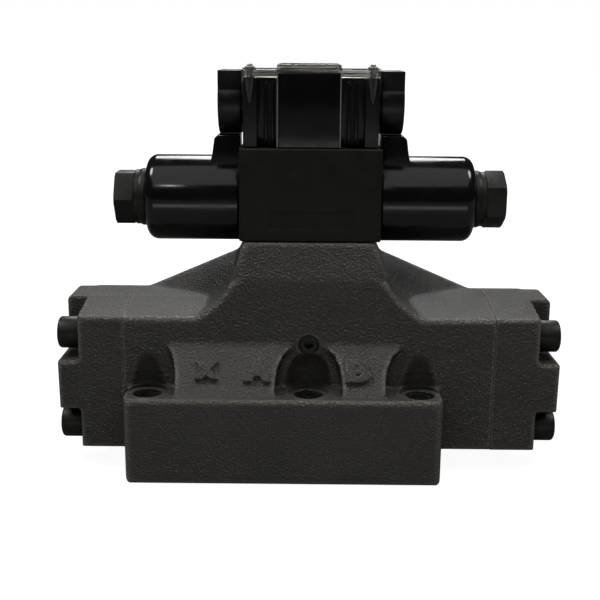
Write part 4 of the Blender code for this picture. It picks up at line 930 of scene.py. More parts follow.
def letter_piece(letter, x, size, relief, foot, slope):
    """One raised letter lying on the slanted pad: size is its (width, height)."""
    curve = bpy.data.curves.new("letter_" + letter, "FONT")
    curve.body = letter
    curve.size = size[1]
    curve.align_x = "CENTER"
    curve.extrude = relief
    rounding = relief * 0.45
    curve.bevel_depth = rounding
    curve.bevel_resolution = 2
    curve.offset = LETTER_WEIGHT
    thing = link("letter_" + letter, curve)
    mesh = final_mesh(thing)
    bpy.data.objects.remove(thing, do_unlink=True)
    spans = [(min(v.co[i] for v in mesh.vertices), max(v.co[i] for v in mesh.vertices))
             for i in (0, 1)]
    # Painted highlight: the letters' sides and rounded edges get a raised edge value, which the
    # cast coating lightens
    share = [min(1.0, max(0.0, (v.co.z - relief) / rounding)) for v in mesh.vertices]
    layer = mesh.attributes.new("edge", "FLOAT", "POINT")
    layer.data.foreach_set("value", [0.5 + 0.12 * (1 - s) + 0.4 * s * (1 - s) for s in share])
    fit = [want / (high - low) for want, (low, high) in zip(size, spans)]
    middle = (spans[0][0] + spans[0][1]) / 2
    mesh.transform(Matrix.Diagonal((*fit, 1, 1)) @ Matrix.Translation((-middle, -spans[1][0], 0)))
    mesh.transform(Matrix.Translation((x, -foot[0], foot[1])) @ Matrix.Rotation(slope, 4, "X"))
    return link("raised_letter_" + letter.lower(), mesh)


def pad_point(x, z):
    """Where the front of the cast body is, at a place across and up."""
    body = bpy.data.objects["valve_housing"]
    hit, place = body.ray_cast(Vector((x, -3 * WIDE, z)), Vector((0, 1, 0)))[:2]
    if not hit:
        raise RuntimeError("a letter has no pad to lie on")
    return place.y


class VALVE_OT_letters(Operator):
    """Add the raised port letters on the front pads"""

    bl_idname = "valve.letters"
    bl_label = "Port letters"

    def execute(self, context):
        sizes = context.scene.valve_sizes
        for letter, x, width, share, up in LETTERS:
            height = sizes.letter_height * share
            low, high = BLOCK_TOP + up, BLOCK_TOP + up + 0.8 * height
            ends = [min(pad_point(x + shift * width, z) for shift in (-0.4, 0.0, 0.4))
                    for z in (low, high)]
            slope = math.atan2(high - low, ends[1] - ends[0])
            piece = letter_piece(letter, x, (width, height), sizes.letter_relief,
                                 (-ends[0], low), slope)
            finish_piece(piece, "cast")
        return {"FINISHED"}


def make_cover(name, side):
    """An end cover with a raised cross between its screws."""
    inner, outer = side * COVER_LOW.x, side * (COVER_LOW.x + COVER_PLATE)
    reach, half = side * COVER_HIGH.x, RIB_HALF_WIDTH
    stock = inner - side * MACHINING_STOCK
    plate = prism("plate", housing_outline(HOUSING_BOTTOM), "X", *sorted((stock, outer)))
    start, slant = outer - side * RIB_ROOT, reach - side * RIB_CHAMFER
    tall = [(start, HOUSING_BOTTOM), (slant, HOUSING_BOTTOM),
            (reach, HOUSING_BOTTOM + RIB_CHAMFER), (reach, CROWN - RIB_CHAMFER),
            (slant, CROWN), (start, CROWN)]
    upright = prism("upright", tall, "Y", -half, half)
    wide = [(start, SPOOL_Z - half), (reach - side * RIB_DRAFT, SPOOL_Z - half),
            (reach, SPOOL_Z + half), (start, SPOOL_Z + half)]
    level = prism("level", wide, "Y", -HOUSING_DEPTH, HOUSING_DEPTH)
    combine(plate, [upright, level], "UNION")
    cast_skin(plate, COVER_VOXEL, bpy.context.scene.valve_sizes.cast_passes)
    plate.name = f"end_cap_{name}"
    cuts = [end_cut(inner, -side), rod("pocket", (inner - side * 0.03, 0, SPOOL_Z),
                                       (inner + side * COVER_POCKET_DEPTH, 0, SPOOL_Z),
                                       COVER_POCKET, 48)]
    for i in range(1, 5):
        _, y, z = centre(f"cover_bolt_{name}_{i}")
        cuts.append(stepped(f"screw_{i}", (outer, y, z), 0.02, COVER_SCREW_STEPS, X_AXIS * side,
                            FIT, 40))
    combine(plate, cuts)
    mark_edges(plate)
    finish_piece(plate, "cast", [f"end_cover_{name}"])


class VALVE_OT_end_caps(Operator):
    """Build the two end covers"""

    bl_idname = "valve.end_caps"
    bl_label = "End covers"

    def execute(self, context):
        for name, side in SIDES:
            make_cover(name, side)
        return {"FINISHED"}


def screw_template(name, head, shank, socket, soft=0.0004):
    """A hexagon socket screw standing on Z = 0: head and shank are (radius, length) pairs."""
    radius, height = head
    points = arc(radius - soft, height - soft, soft, 90, 0, 5)
    profile = [(0.0, height)] + points + [(radius, 0.0006), (radius - 0.0004, 0.0),
                                          (shank[0], 0.0), (shank[0], -shank[1]),
                                          (0.0, -shank[1])]
    body = lathe(name, profile)
    reach, depth = socket
    hole = prism("hex", hexagon(0, 0, reach), "Z", height - depth, height + 0.002)
    hole.data.transform(Matrix.Rotation(math.radians(30), 4, "Z"))
    mouth = lathe("mouth", [(0.0, height + 0.001), (reach + 0.0012, height + 0.001),
                            (reach - 0.0006, height - 0.0008), (0.0, height - 0.0008)], steps=32)
    return combine(body, [hole, mouth])


def painted(n, geometry, inside, out):
    """End a geometry node tree with its finish."""
    done = n.add("GeometryNodeSetMaterial", {"Geometry": geometry, "Material": inside["Finish"]})
    n.feed(out, {"Geometry": done.outputs[0]})
    return n.tree


def scatter_tree():
    """Geometry nodes that put a copy of a piece on each point, turned along its aim."""
    n, inside, out = new_tree(
        "GeometryNodeTree", "Scatter pieces",
        {"Geometry": "Geometry", "Piece": "Object", "Finish": "Material"},
        {"Geometry": "Geometry"},
    )
    source = n.add("GeometryNodeObjectInfo", {"Object": inside["Piece"]})
    aim = n.add("GeometryNodeInputNamedAttribute", {"Name": "aim"}, data_type="FLOAT_VECTOR")
    turn = n.add("FunctionNodeAlignRotationToVector", {"Vector": aim.outputs["Attribute"]},
                 axis="Z")
    spread = n.add("GeometryNodeInstanceOnPoints", {
        "Points": inside["Geometry"], "Instance": source.outputs["Geometry"],
        "Rotation": turn.outputs[0],
    })
    real = n.add("GeometryNodeRealizeInstances", {"Geometry": spread.outputs[0]})
    return painted(n, real.outputs[0], inside, out)


def on_points(name, places, attribute, tree, inputs):
    """Run a geometry node tree over points, whose attribute is (name, kind, values)."""
    mesh = bpy.data.meshes.new(name)
    mesh.from_pydata(places, [], [])
    label, kind, values = attribute
    field = "vector" if kind == "FLOAT_VECTOR" else "value"
    for item, value in zip(mesh.attributes.new(label, kind, "POINT").data, values):
        setattr(item, field, value)
    thing = link(name, mesh)
    step = thing.modifiers.new("points", "NODES")
    step.node_group = tree
    for socket in tree.interface.items_tree:
        if socket.in_out == "INPUT" and socket.name in inputs:
            step[socket.identifier] = inputs[socket.name]
    return apply(thing)


def scatter(name, template, points, finish):
    """Copies of a template on (place, aim) points, as one plain mesh."""
    places, aims = zip(*points)
    thing = on_points(
        name, places, ("aim", "FLOAT_VECTOR", aims),
        bpy.data.node_groups.get("Scatter pieces") or scatter_tree(),
        {"Piece": template, "Finish": MATERIALS[finish]},
    )
    bpy.data.objects.remove(template, do_unlink=True)
    return thing


def place_screws(name, aims, head, make, finish):
    """Screws in the place of CAD ones, {node: the way its head looks}, from make(their size)."""
    points = []
    for node, aim in aims.items():
        low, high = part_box(node)
        place = (low + high) / 2
        axis = 0 if aim[0] else 2
        place[axis] = (high if aim[axis] > 0 else low)[axis] - aim[axis] * head
        points.append((place, aim))
    size = Vector([b - a for a, b in zip(low, high)])
    finish_piece(scatter(name, make(size), points, finish), finish, list(aims))


class VALVE_OT_cover_screws(Operator):
    """Add the eight screws of the end covers"""

    bl_idname = "valve.cover_screws"
    bl_label = "Cover screws"

    def execute(self, context):
        aims = {f"cover_bolt_{name}_{i}": (side, 0, 0) for name, side in SIDES
                for i in range(1, 5)}
        place_screws("cover_screws", aims, COVER_HEAD, lambda size: screw_template(
            "cover_screw", (size.y / 2, COVER_HEAD), (0.0049, size.x - COVER_HEAD),
            (0.0046, 0.0050), 0.0016), "screws")
        return {"FINISHED"}


def ring_tree():
    """Geometry nodes that put a round seal on each point, as wide as its reach says."""
    n, inside, out = new_tree(
        "GeometryNodeTree", "Seal rings",
        {"Geometry": "Geometry", "Section": "Float", "Finish": "Material"},
        {"Geometry": "Geometry"},
    )
    circle = n.add("GeometryNodeCurvePrimitiveCircle", {"Resolution": 64, "Radius": 1.0})
    reach = n.add("GeometryNodeInputNamedAttribute", {"Name": "reach"}, data_type="FLOAT")
    spread = n.add("GeometryNodeInstanceOnPoints", {
        "Points": inside["Geometry"], "Instance": circle.outputs["Curve"],
        "Scale": reach.outputs["Attribute"],
    })
    real = n.add("GeometryNodeRealizeInstances", {"Geometry": spread.outputs[0]})
    profile = n.add("GeometryNodeCurvePrimitiveCircle", {
        "Resolution": 14, "Radius": inside["Section"],
    })
    tube = n.add("GeometryNodeCurveToMesh", {
        "Curve": real.outputs[0], "Profile Curve": profile.outputs["Curve"],
    })
    return painted(n, tube.outputs[0], inside, out)


def seal_rings(row, letters):
    """Round seals in the place of one row of CAD ones, all of one section."""
    nodes = [f"{row}_seal_{letter}" for letter in letters]
    low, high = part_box(f"{row}_seal_a")
    section = (high.z - low.z) / 2
    reaches = []
    for node in nodes:
        low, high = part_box(node)
        reaches.append((high.x - low.x) / 2 - section)
    rings = on_points(
        f"{row}_seal_rings", [centre(node) for node in nodes], ("reach", "FLOAT", reaches),
        bpy.data.node_groups.get("Seal rings") or ring_tree(),
        {"Section": section, "Finish": MATERIALS["rubber"]},
    )
    finish_piece(rings, "rubber", nodes)


class VALVE_OT_seals(Operator):
    """Add the seals of the mounting face and of the pilot valve"""

    bl_idname = "valve.seals"
    bl_label = "Seals"

    def execute(self, context):
        seal_rings("port", PORTS)
        seal_rings("pilot", "ptab")
        return {"FINISHED"}


def make_plug(row, facing):
    """A plug with a bevelled rim and a hexagon socket."""
    low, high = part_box(f"{row}_plug")
    middle = (low + high) / 2
    face = low.y if facing < 0 else high.y
    radius, length, rim = PLUG_RADIUS, high.y - low.y, 0.0007
    profile = [(0.0, -0.0005), (radius - rim, -0.0005), (radius - 0.6 * rim, 0.0),
               (radius - 0.3 * rim, 0.0), (radius, -0.3 * rim), (radius, -length), (0.0, -length)]
    plug = lathe(f"cross_plug_{row}", profile, (middle.x, face, middle.z), (0, facing, 0), 64)
    corners = hexagon(middle.x, middle.z, 0.0024, 90)
    ends = sorted((face + facing * 0.001, face - facing * 0.0045))
    combine(plug, [prism("hex", corners, "Y", *ends)])
    finish_piece(plug, "screws", [f"{row}_plug"])


class VALVE_OT_plugs(Operator):
    """Add the socket plugs of the cross drillings"""

    bl_idname = "valve.plugs"
    bl_label = "Plugs"

    def execute(self, context):
        for row, facing in PLUG_ROWS:
            make_plug(row, facing)
        return {"FINISHED"}


class VALVE_OT_pilot_body(Operator):
    """Build the milled body of the pilot valve"""

    bl_idname = "valve.pilot_body"
    bl_label = "Pilot body"

    def execute(self, context):
        body = block("pilot_housing", PILOT_LOW, PILOT_HIGH, 0.0009, 3)
        cuts = [rod("bore", on_axis(-WIDE / 2), on_axis(WIDE / 2), PILOT_BORE)]
        for _, side in SIDES:
            inner, outer = side * (TUBE_LOW.x - FIT), side * (PILOT_HIGH.x + 0.002)
            cuts.append(rod("seat", on_axis(inner), on_axis(outer), TUBE_RADIUS + FIT))
        above, below = PILOT_HIGH.z + 0.01, PILOT_LOW.z - 0.01
        head, shank = PILOT_SCREW_HOLE
        for i in range(1, 5):
            low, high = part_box(f"pilot_bolt_{i}")
            x, y, _ = (low + high) / 2
            steps = ((head, high.z - PILOT_HEAD - FIT), (shank, below))
            cuts.append(stepped("screw_hole", (x, y, 0), above, steps, facets=32))
        cuts.append(block("blank_field", (FIELD_LEFT, PILOT_LOW.y - 0.005, FIELD_LOW),
                          (FIELD_RIGHT, PILOT_LOW.y + FIELD_DEPTH, FIELD_HIGH), 0.0006, 2))
        port, recess = PILOT_PORT
        port_top, recess_top = (PILOT_LOW.z + depth for depth in PILOT_PORT_DEPTHS)
        for letter in "ptab":
            x, y, _ = centre(f"pilot_seal_{letter}")
            steps = ((port, recess_top), (recess, below))
            cuts.append(stepped("port", (x, y, 0), port_top, steps, facets=32))
        combine(body, cuts)
        finish_piece(body, "pilot", ["pilot_body"])
        return {"FINISHED"}


class VALVE_OT_pilot_screws(Operator):
    """Add the four screws of the pilot valve"""

    bl_idname = "valve.pilot_screws"
    bl_label = "Pilot screws"

    def execute(self, context):
        aims = {f"pilot_bolt_{i}": (0, 0, 1) for i in range(1, 5)}
        place_screws("pilot_screws", aims, PILOT_HEAD, lambda size: screw_template(
            "pilot_screw", (size.x / 2, PILOT_HEAD), (0.0024, size.z - PILOT_HEAD),
            (0.0023, 0.0030)), "screws")
        return {"FINISHED"}


def make_coil(name, side):
    """A glossy coil with rounded ends and its terminal block."""
    start, end, radius = COIL_LOW.x, COIL_HIGH.x, COIL_RADIUS
    bore = TUBE_RADIUS + FIT
    big, small = 0.0050, 0.0008
    outer = arc(radius - big, end - big, big, 90, 0, 8)
    inner = arc(radius - small, start + small, small, 0, -90, 3)
    profile = [(bore, end - 0.0006), (bore + 0.0006, end), (0.0142, end), (0.0146, end - 0.0003)]
    profile += [(0.0152, end - 0.0003), (0.0155, end)] + outer + inner + [(bore, start)]
    coil = lathe(f"coil_body_{name}", profile, PILOT_AXIS, X_AXIS * side, 96)
    half = 0.0100
    foot, head = 0.0137, 0.0112
    low, step, top = PILOT_Z + 0.7 * radius, 0.1490, COIL_HIGH.z
    outline = [(start, low), (start + foot, low), (start + foot, step + 0.0006),
               (start + foot - 0.0006, step + 0.0030), (start + head + 0.0008, top - 0.0016),
               (start + head - 0.0010, top), (start, top)]
    outline = [(side * x, z) for x, z in outline]
    socket = prism("terminal_block", outline, "Y", PILOT_Y - half, PILOT_Y + half, 0.0006, 2)
    combine(coil, [socket], "UNION")
    finish_piece(coil, "coil", [f"coil_{name}"], angle=30)


def make_nut(name, side):
    """The coil's nut: a ring, a collar and a hexagon with turned corners."""
    start, end = NUT_LOW.x, NUT_HIGH.x
    ring, collar, corner = 0.0139, 0.0133, 0.0141
    ring_end, collar_end = start + 0.0023, start + 0.0058
    profile = [(0.0, collar_end + 0.004), (0.0110, collar_end + 0.004), (0.0110, collar_end),
               (collar - 0.0005, collar_end), (collar, collar_end - 0.0005),
               (collar, ring_end + 0.0012), (ring - 0.0001, ring_end + 0.0003),
               (ring, ring_end - 0.0004), (ring, start + 0.0004), (ring - 0.0004, start),
               (0.0, start)]
    nut = lathe(f"solenoid_nut_{name}", profile, PILOT_AXIS, X_AXIS * side, 72)
    corners = hexagon(PILOT_Y, PILOT_Z, corner, 90 if side > 0 else 0)
    head = prism("hexagon", corners, "X", *sorted((side * (collar_end - 0.0001), side * end)),
                 0.00025, 2)
    turned = [(0.0, end + 0.001), (corner - 0.0014, end + 0.001), (corner - 0.0012, end),
              (corner + 0.0002, end - 0.0008), (corner + 0.0002, collar_end - 0.0004),
              (0.0, collar_end - 0.0004)]
    envelope = lathe("envelope", turned, PILOT_AXIS, X_AXIS * side, 72)
    combine(head, [envelope], "INTERSECT")
    combine(nut, [head], "UNION")
    before, wall, beyond = (on_axis(side * x) for x in (start - 0.002, end - 0.0034, end + 0.002))
    combine(nut, [rod("bore", before, wall, TUBE_RADIUS + FIT, 48),
                  rod("pin_hole", before, beyond, PIN_RADIUS + FIT, 32, 0.0007)])
    finish_piece(nut, "screws", [f"coil_nut_{name}"], angle=28)


def make_pin(name, side):
    """A manual override pin with a rounded end, which rides on its own body."""
    low, high, radius, soft = PIN_LOW.x, PIN_HIGH.x, PIN_RADIUS, 0.0006
    profile = [(0.0, high - 0.0003), (0.0007, high),
               *arc(radius - soft, high - soft, soft, 90, 0, 4),
               (radius, low + 0.0003), (radius - 0.0003, low), (0.0, low)]
    pin = lathe(f"push_pin_{name}", profile, PILOT_AXIS, X_AXIS * side, 40)
    finish_piece(pin, "steel", [f"override_pin_{name}"], body=f"override_pin_{name}")


class VALVE_OT_solenoids(Operator):
    """Build the coils, their nuts and the manual override pins"""

    bl_idname = "valve.solenoids"
    bl_label = "Solenoids"

    def execute(self, context):
        for name, side in SIDES:
            make_coil(name, side)
            make_nut(name, side)
            make_pin(name, side)
        return {"FINISHED"}


def side_block(name, side, low, high, radius):
    """A box with rounded edges on one side of the middle: its X is measured outward."""
    ends = sorted((side * low[0], side * high[0]))
    return block(name, (ends[0], *low[1:]), (ends[1], *high[1:]), radius, 2)


def make_tray():
    """The terminal box: a tray with a middle, two posts, four ribs and two cable ways."""
    bottom, top, rim = BOX_LOW.z, BOX_HIGH.z, BOX_HIGH.z - SKIRT_DROP
    left, right, wall, soft = BOX_LOW.x, BOX_HIGH.x, BOX_WALL, 0.0005
    front = BOX_LOW.y + BOX_RECESS
    back = front + 0.002
    tray = block("terminal_housing", (left, front, bottom), (right, BOX_HIGH.y, rim), soft, 2)
    joined = [block("middle", (PANEL_LOW.x, PANEL_HIGH.y + FIT, bottom),
                    (PANEL_HIGH.x, back, top), soft, 2)]
    for _, side in SIDES:
        joined.append(side_block(
            "post", side, (right - POST_WIDTH, BOX_LOW.y + POST_SETBACK, bottom),
            (right, back, rim), soft))
        for x in RIBS:
            joined.append(side_block("rib", side, (x, front - 0.0022, bottom + 0.0002),
                                     (x + RIB_WIDTH, back, rim - 0.002), 0.0003))
    combine(tray, joined, "UNION")
    cuts = [block("inside", (left + wall, front + wall, bottom + wall),
                  (right - wall, BOX_HIGH.y - wall, top + 0.01), 0.0008, 2)]
    for name, side in SIDES:
        x, y, _ = centre(f"lid_screw_{name}")
        cuts.append(rod("thread", (x, y, top - 0.0125), (x, y, top + 0.01), LID_SCREW_HOLE, 24))
        ends = ((side * x, PILOT_Y, HUB_Z) for x in (right - wall - 0.002, right + 0.002))
        cuts.append(rod("cable_way", *ends, HUB_BORE))
    combine(tray, cuts)
    finish_piece(tray, "plastic", ["terminal_box"])


class VALVE_OT_terminal_box(Operator):
    """Build the terminal box, its front panel, its clear lid and their screws"""

    bl_idname = "valve.terminal_box"
    bl_label = "Terminal box"

    def execute(self, context):
        make_tray()
        panel = block("smooth_panel", PANEL_LOW, PANEL_HIGH, 0.0004, 3)
        finish_piece(panel, "panel", ["front_panel"])
        make_panel_edges()
        make_lid()
        aims = {f"lid_screw_{name}": (0, 0, 1) for name, _ in SIDES}
        place_screws("lid_screws", aims, LID_SCREW_HEAD, lid_screw, "zinc")
        make_terminals()
        return {"FINISHED"}


def make_panel_edges():
    """The thin pale edges of the clear cover that show beside the front panel."""
    edges = None
    for x, side in ((PANEL_LOW.x, -1), (PANEL_HIGH.x, 1)):
        low, high = sorted((x + side * 0.00005, x + side * PANEL_EDGE))
        strip = block("panel_edges", (low, PANEL_LOW.y + 0.0002, PANEL_LOW.z + 0.0001),
                      (high, PANEL_LOW.y + 0.0024, PANEL_HIGH.z), 0.0001, 1)
        edges = strip if edges is None else combine(edges, [strip], "UNION")
    finish_piece(edges, "frosted")


def tapered(name, place, high, low, drop):
    """A tapered peg whose front line stays upright: (radius at the top, radius at the foot)."""
    bm = bmesh.new()
    rings = []
    for radius, z in ((high, place[2]), (low, place[2] - drop)):
        y = place[1] - high + radius
        rings.append([bm.verts.new((place[0] + radius * math.cos(a), y + radius * math.sin(a), z))
                      for a in (2 * math.pi * i / 24 for i in range(24))])
    bridge(bm, rings)
    bm.faces.new(rings[0])
    bm.faces.new(rings[1])
    return from_bmesh(name, bm)


def make_lid():
    """The clear lid: a plate with a skirt, a raised middle, two screw collars and two pegs."""
    plate_top = LID_LOW.z + LID_PLATE
    foot = BOX_HIGH.z - SKIRT_DROP + 0.0002
    lid = block("clear_cover", (LID_LOW.x, LID_LOW.y, foot), (LID_HIGH.x, LID_HIGH.y, plate_top),
                0.0004, 2)
    left, right = PANEL_LOW.x - PANEL_EDGE, PANEL_HIGH.x + PANEL_EDGE
    top = LID_HIGH.z
    outline = [(left, LID_LOW.z), (right, LID_LOW.z), (right, top - 0.0006), (right - 0.0006, top),
               (left + 0.0006, top), (left, top - 0.0006)]
    crown = prism("crown", outline, "Y", LID_LOW.y, LID_HIGH.y, 0.0003, 2)
    screws = [centre(f"lid_screw_{name}").xy for name, _ in SIDES]
    collars = [rod("collar", (x, y, plate_top - 0.001), (x, y, plate_top + 0.0006), 0.0034, 32)
               for x, y in screws]
    combine(lid, [crown] + collars, "UNION")
    thick = LID_WALL
    cuts = [
        block("crown_hollow", (left + thick, LID_LOW.y + thick, LID_LOW.z - 0.001),
              (right - thick, LID_HIGH.y - thick, top - thick)),
        block("skirt_hollow", (LID_LOW.x + thick, LID_LOW.y + thick, foot - 0.01),
              (LID_HIGH.x - thick, LID_HIGH.y - thick, LID_LOW.z)),
        block("middle_way", (left, LID_LOW.y - 0.01, foot - 0.01),
              (right, BOX_LOW.y + 0.0140, BOX_HIGH.z + 0.0002)),
    ]
    pegs = []
    for x, y in screws:
        cuts.append(rod("screw", (x, y, LID_LOW.z - 0.004), (x, y, plate_top + 0.003),
                        LID_SCREW_HOLE, 24))
        pegs.append(tapered("peg", (x, BOX_LOW.y + 0.00275, foot), 0.0027, 0.0005, PEG_DROP))
    combine(lid, cuts)
    finish_piece(lid, "clear", ["clear_lid"])
    legs = combine(pegs[0], pegs[1:], "UNION")
    legs.name = "lid_pegs"
    finish_piece(legs, "smoked")
    inset = 1.5 * thick
    insert = block("crown_insert", (left + inset, LID_LOW.y + inset, plate_top),
                   (right - inset, LID_HIGH.y - inset, top - 1.4 * thick), 0.0003, 2)
    finish_piece(insert, "amber")


def lid_screw(size):
    """A small slotted screw with a round flange, standing on Z = 0."""
    radius, head, neck, flange = size.x / 2, LID_SCREW_HEAD, 0.0013, 0.0011
    length = size.z - head
    profile = [(0.0, head), (neck - 0.0003, head), (neck, head - 0.0003), (neck, flange),
               (radius - 0.0002, flange - 0.0001), (radius, flange - 0.0003), (radius, 0.0),
               (neck, 0.0), (neck, -length), (0.0, -length)]
    screw = lathe("lid_screw", profile, steps=40)
    return combine(screw, [block("slot", (-0.01, -0.0003, head - 0.0006),
                                 (0.01, 0.0003, head + 0.01))])


def make_terminals():
    """A strip of brass terminals under the clear lid."""
    middle_y = (BOX_LOW.y + BOX_RECESS + BOX_HIGH.y) / 2
    floor = BOX_LOW.z + 0.0028
    base = block("terminal_strip", (-0.0210, middle_y - 0.0050, floor),
                 (0.0210, middle_y + 0.0050, BOX_HIGH.z - 0.0120), 0.0006, 2)
    finish_piece(base, "plastic")
    template = screw_template("terminal_screw", (0.0022, 0.0016), (0.0012, 0.0030),
                              (0.0011, 0.0008))
    points = [((-0.0175 + 0.0070 * i, middle_y, BOX_HIGH.z - 0.0118), (0, 0, 1)) for i in range(6)]
    screws = scatter("terminal_screws", template, points, "brass")
    finish_piece(screws, "brass")


class VALVE_OT_conduit_hubs(Operator):
    """Build the two conduit hubs"""

    bl_idname = "valve.conduit_hubs"
    bl_label = "Conduit hubs"

    def execute(self, context):
        start = HUB_LOW.x + 0.0010
        half = math.sqrt(HUB_RADIUS ** 2 - HUB_STEP ** 2)
        turn = math.degrees(math.asin(HUB_STEP / HUB_RADIUS))
        step_z = HUB_Z + HUB_STEP - 0.0004
        outline = [(PILOT_Y - half, HUB_HIGH.z), (PILOT_Y + half, HUB_HIGH.z),
                   (PILOT_Y + half, step_z),
                   *arc(PILOT_Y, HUB_Z, HUB_RADIUS, turn - 4, -176 - turn, 36),
                   (PILOT_Y - half, step_z)]
        for name, side in SIDES:
            ends = sorted((side * start, side * HUB_HIGH.x))
            hub = prism(f"conduit_boss_{name}", outline, "X", *ends, 0.0004, 2)
            neck = rod("neck", (side * HUB_LOW.x, PILOT_Y, HUB_Z),
                       (side * (start + 0.002), PILOT_Y, HUB_Z), HUB_NECK)
            combine(hub, [neck], "UNION")
            bore = rod("bore", (side * (HUB_LOW.x - 0.002), PILOT_Y, HUB_Z),
                       (side * (HUB_HIGH.x + 0.0014), PILOT_Y, HUB_Z), HUB_BORE, 64, 0.0010)
            combine(hub, [bore])
            finish_piece(hub, "plastic", [f"conduit_hub_{name}"], angle=30)
        return {"FINISHED"}


def make_spring(spool, side):
    """A copy of a CAD spring in turned steel, which hides the CAD one."""
    node = f"{spool}_spring_{side}"
    coil = link(f"centring_spring_{spool}_{side}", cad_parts[node].data.copy())
    coil.data.materials.clear()
    coil.data.materials.append(MATERIALS["steel"])
    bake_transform(coil)
    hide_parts(node)


class VALVE_OT_inner_parts(Operator):
    """Give the spools, springs, tubes and inner seals their finishes"""

    bl_idname = "valve.inner_parts"
    bl_label = "Inner parts"

    def execute(self, context):
        for spool in ("main", "pilot"):
            for side, facing in (("left", -1), ("right", 1)):
                make_spring(spool, side)
        for node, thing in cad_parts.items():
            if thing.hide_render:
                continue
            finish = "rubber" if "seal" in node else "steel"
            thing.data.materials.clear()
            thing.data.materials.append(MATERIALS[finish])
        return {"FINISHED"}


def area_light(name, place, aim, size, power):
    """A soft box that looks at a point."""
    lamp = bpy.data.lights.new(name, "AREA")
    lamp.shape = "RECTANGLE"
    lamp.size, lamp.size_y = size
    lamp.energy = power
    thing = link(name, lamp)
    thing.location = place
    thing.rotation_mode = "QUATERNION"
    thing.rotation_quaternion = (Vector(aim) - Vector(place)).to_track_quat("-Z", "Y")
    return thing


def sky_light(name, towards, strength, spread):
    """An even soft light from far away, spread over some degrees."""
    lamp = bpy.data.lights.new(name, "SUN")
    lamp.energy = strength
    lamp.angle = math.radians(spread)
    thing = link(name, lamp)
    thing.rotation_mode = "QUATERNION"
    thing.rotation_quaternion = Vector(towards).to_track_quat("Z", "Y")
    return thing


# How strongly the surround lights, and how bright it and the floor look to the camera
WORLD_LIGHT = 0.03
WORLD_SEEN = 1.0
FLOOR_SEEN = 0.95
FLOOR_GREYS = ((0.15, 0.15, 0.15), (0.16, 0.16, 0.16))
WHITE = (1.0, 1.0, 1.0, 1.0)


def make_world():
    """A white surround that lights the object faintly."""
    world = bpy.data.worlds.new("studio")
    world.use_nodes = True
    n = Nodes(world.node_tree)
    seen = n.add("ShaderNodeLightPath").outputs["Is Camera Ray"]
    n.feed(n.tree.nodes["Background"], {
        "Color": WHITE, "Strength": n.ramp(seen, 0.0, 1.0, WORLD_LIGHT, WORLD_SEEN),
    })
    return world


CAMERA_PLACE = (-0.00275, -0.512, 0.19958)
CAMERA_PITCH = math.radians(13.56)
CAMERA_YAW = math.radians(-0.2)
CAMERA_ROLL = math.radians(0.45)
CAMERA_LENS = 61.61


def make_camera():
    """The camera at the photograph's place."""
    camera = bpy.data.cameras.new("camera")
    camera.lens = CAMERA_LENS
    camera.sensor_width = 36.0
    camera.clip_start = 0.01
    thing = link("camera", camera)
    forward = Vector((math.sin(CAMERA_YAW) * math.cos(CAMERA_PITCH),
                      math.cos(CAMERA_YAW) * math.cos(CAMERA_PITCH), -math.sin(CAMERA_PITCH)))
    level = Vector((math.cos(CAMERA_YAW), -math.sin(CAMERA_YAW), 0.0))
    upward = level.cross(forward)
    right = math.cos(CAMERA_ROLL) * level + math.sin(CAMERA_ROLL) * upward
    up = -math.sin(CAMERA_ROLL) * level + math.cos(CAMERA_ROLL) * upward
    turn = Matrix((right, up, -forward)).transposed()
    thing.rotation_mode = "QUATERNION"
    thing.rotation_quaternion = turn.to_quaternion()
    thing.location = CAMERA_PLACE
    bpy.context.scene.camera = thing


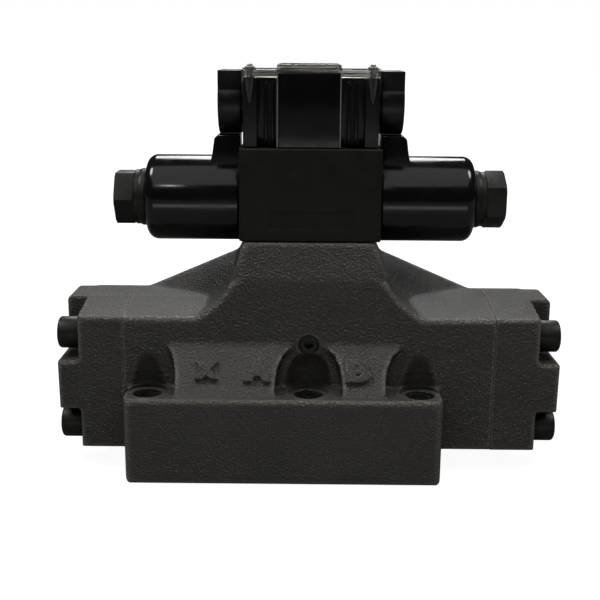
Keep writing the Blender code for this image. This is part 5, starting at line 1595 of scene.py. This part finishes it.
class VALVE_OT_stage(Operator):
    """Set up the floor, the lights and the camera"""

    bl_idname = "valve.stage"
    bl_label = "Stage"

    def execute(self, context):
        scene = context.scene
        floor = block("floor", (-8, -4, -0.0102), (8, 12, -0.0002))
        made, n, shader, place = start_material("pale_floor")
        seen = n.add("ShaderNodeLightPath").outputs["Is Camera Ray"]
        n.feed(shader, {
            "Base Color": n.blend(n.noise(place, 3.0, 2.0), *FLOOR_GREYS), "Roughness": 0.7,
            "Emission Color": WHITE, "Emission Strength": n.times(seen, FLOOR_SEEN),
        })
        floor.data.materials.append(made)
        scene.world = make_world()
        sky_light("behind", (0.0, 0.78, 0.62), 1.0, 24)
        sky_light("high", (0.0, -0.35, 0.94), 0.55, 60)
        for x, strength in ((-0.54, 1.3), (0.54, 1.0)):
            sky_light("side", (x, -0.03, 0.83), strength, 20)
        area_light("front_strip", (-0.22, -0.80, 0.72), (-0.06, 0, 0.13), (0.09, 0.03), 0.22)
        area_light("front_low", (0, -0.36, 0.028), (0, 0, 0.04), (0.40, 0.05), 0.07)
        scene.view_settings.view_transform = "Standard"
        make_camera()
        return {"FINISHED"}


OPERATORS = (
    VALVE_OT_housing, VALVE_OT_letters, VALVE_OT_end_caps, VALVE_OT_cover_screws, VALVE_OT_seals,
    VALVE_OT_plugs, VALVE_OT_pilot_body, VALVE_OT_pilot_screws, VALVE_OT_solenoids,
    VALVE_OT_terminal_box, VALVE_OT_conduit_hubs, VALVE_OT_inner_parts, VALVE_OT_stage,
)


class VALVE_PT_sidebar(Panel):
    """The valve's sizes, colours and steps"""

    bl_idname = "VALVE_PT_sidebar"
    bl_label = "Directional valve"
    bl_space_type = "VIEW_3D"
    bl_region_type = "UI"
    bl_category = "Valve"

    def draw(self, context):
        layout = self.layout
        for group in (context.scene.valve_sizes, context.scene.valve_colours):
            for name in group.__annotations__:
                layout.prop(group, name)
        for step in OPERATORS:
            layout.operator(step.bl_idname)


CLASSES = (ValveSizes, ValveColours, *OPERATORS, VALVE_PT_sidebar)


def register():
    for item in CLASSES:
        bpy.utils.register_class(item)
    bpy.types.Scene.valve_sizes = PointerProperty(type=ValveSizes)
    bpy.types.Scene.valve_colours = PointerProperty(type=ValveColours)


def unregister():
    del bpy.types.Scene.valve_colours
    del bpy.types.Scene.valve_sizes
    for item in reversed(CLASSES):
        bpy.utils.unregister_class(item)


def main():
    """Build every piece."""
    register()
    MATERIALS.update(make_materials(bpy.context.scene.valve_colours))
    for step in OPERATORS:
        group, name = step.bl_idname.split(".")
        getattr(getattr(bpy.ops, group), name)()


if __name__ == "__main__":
    main()
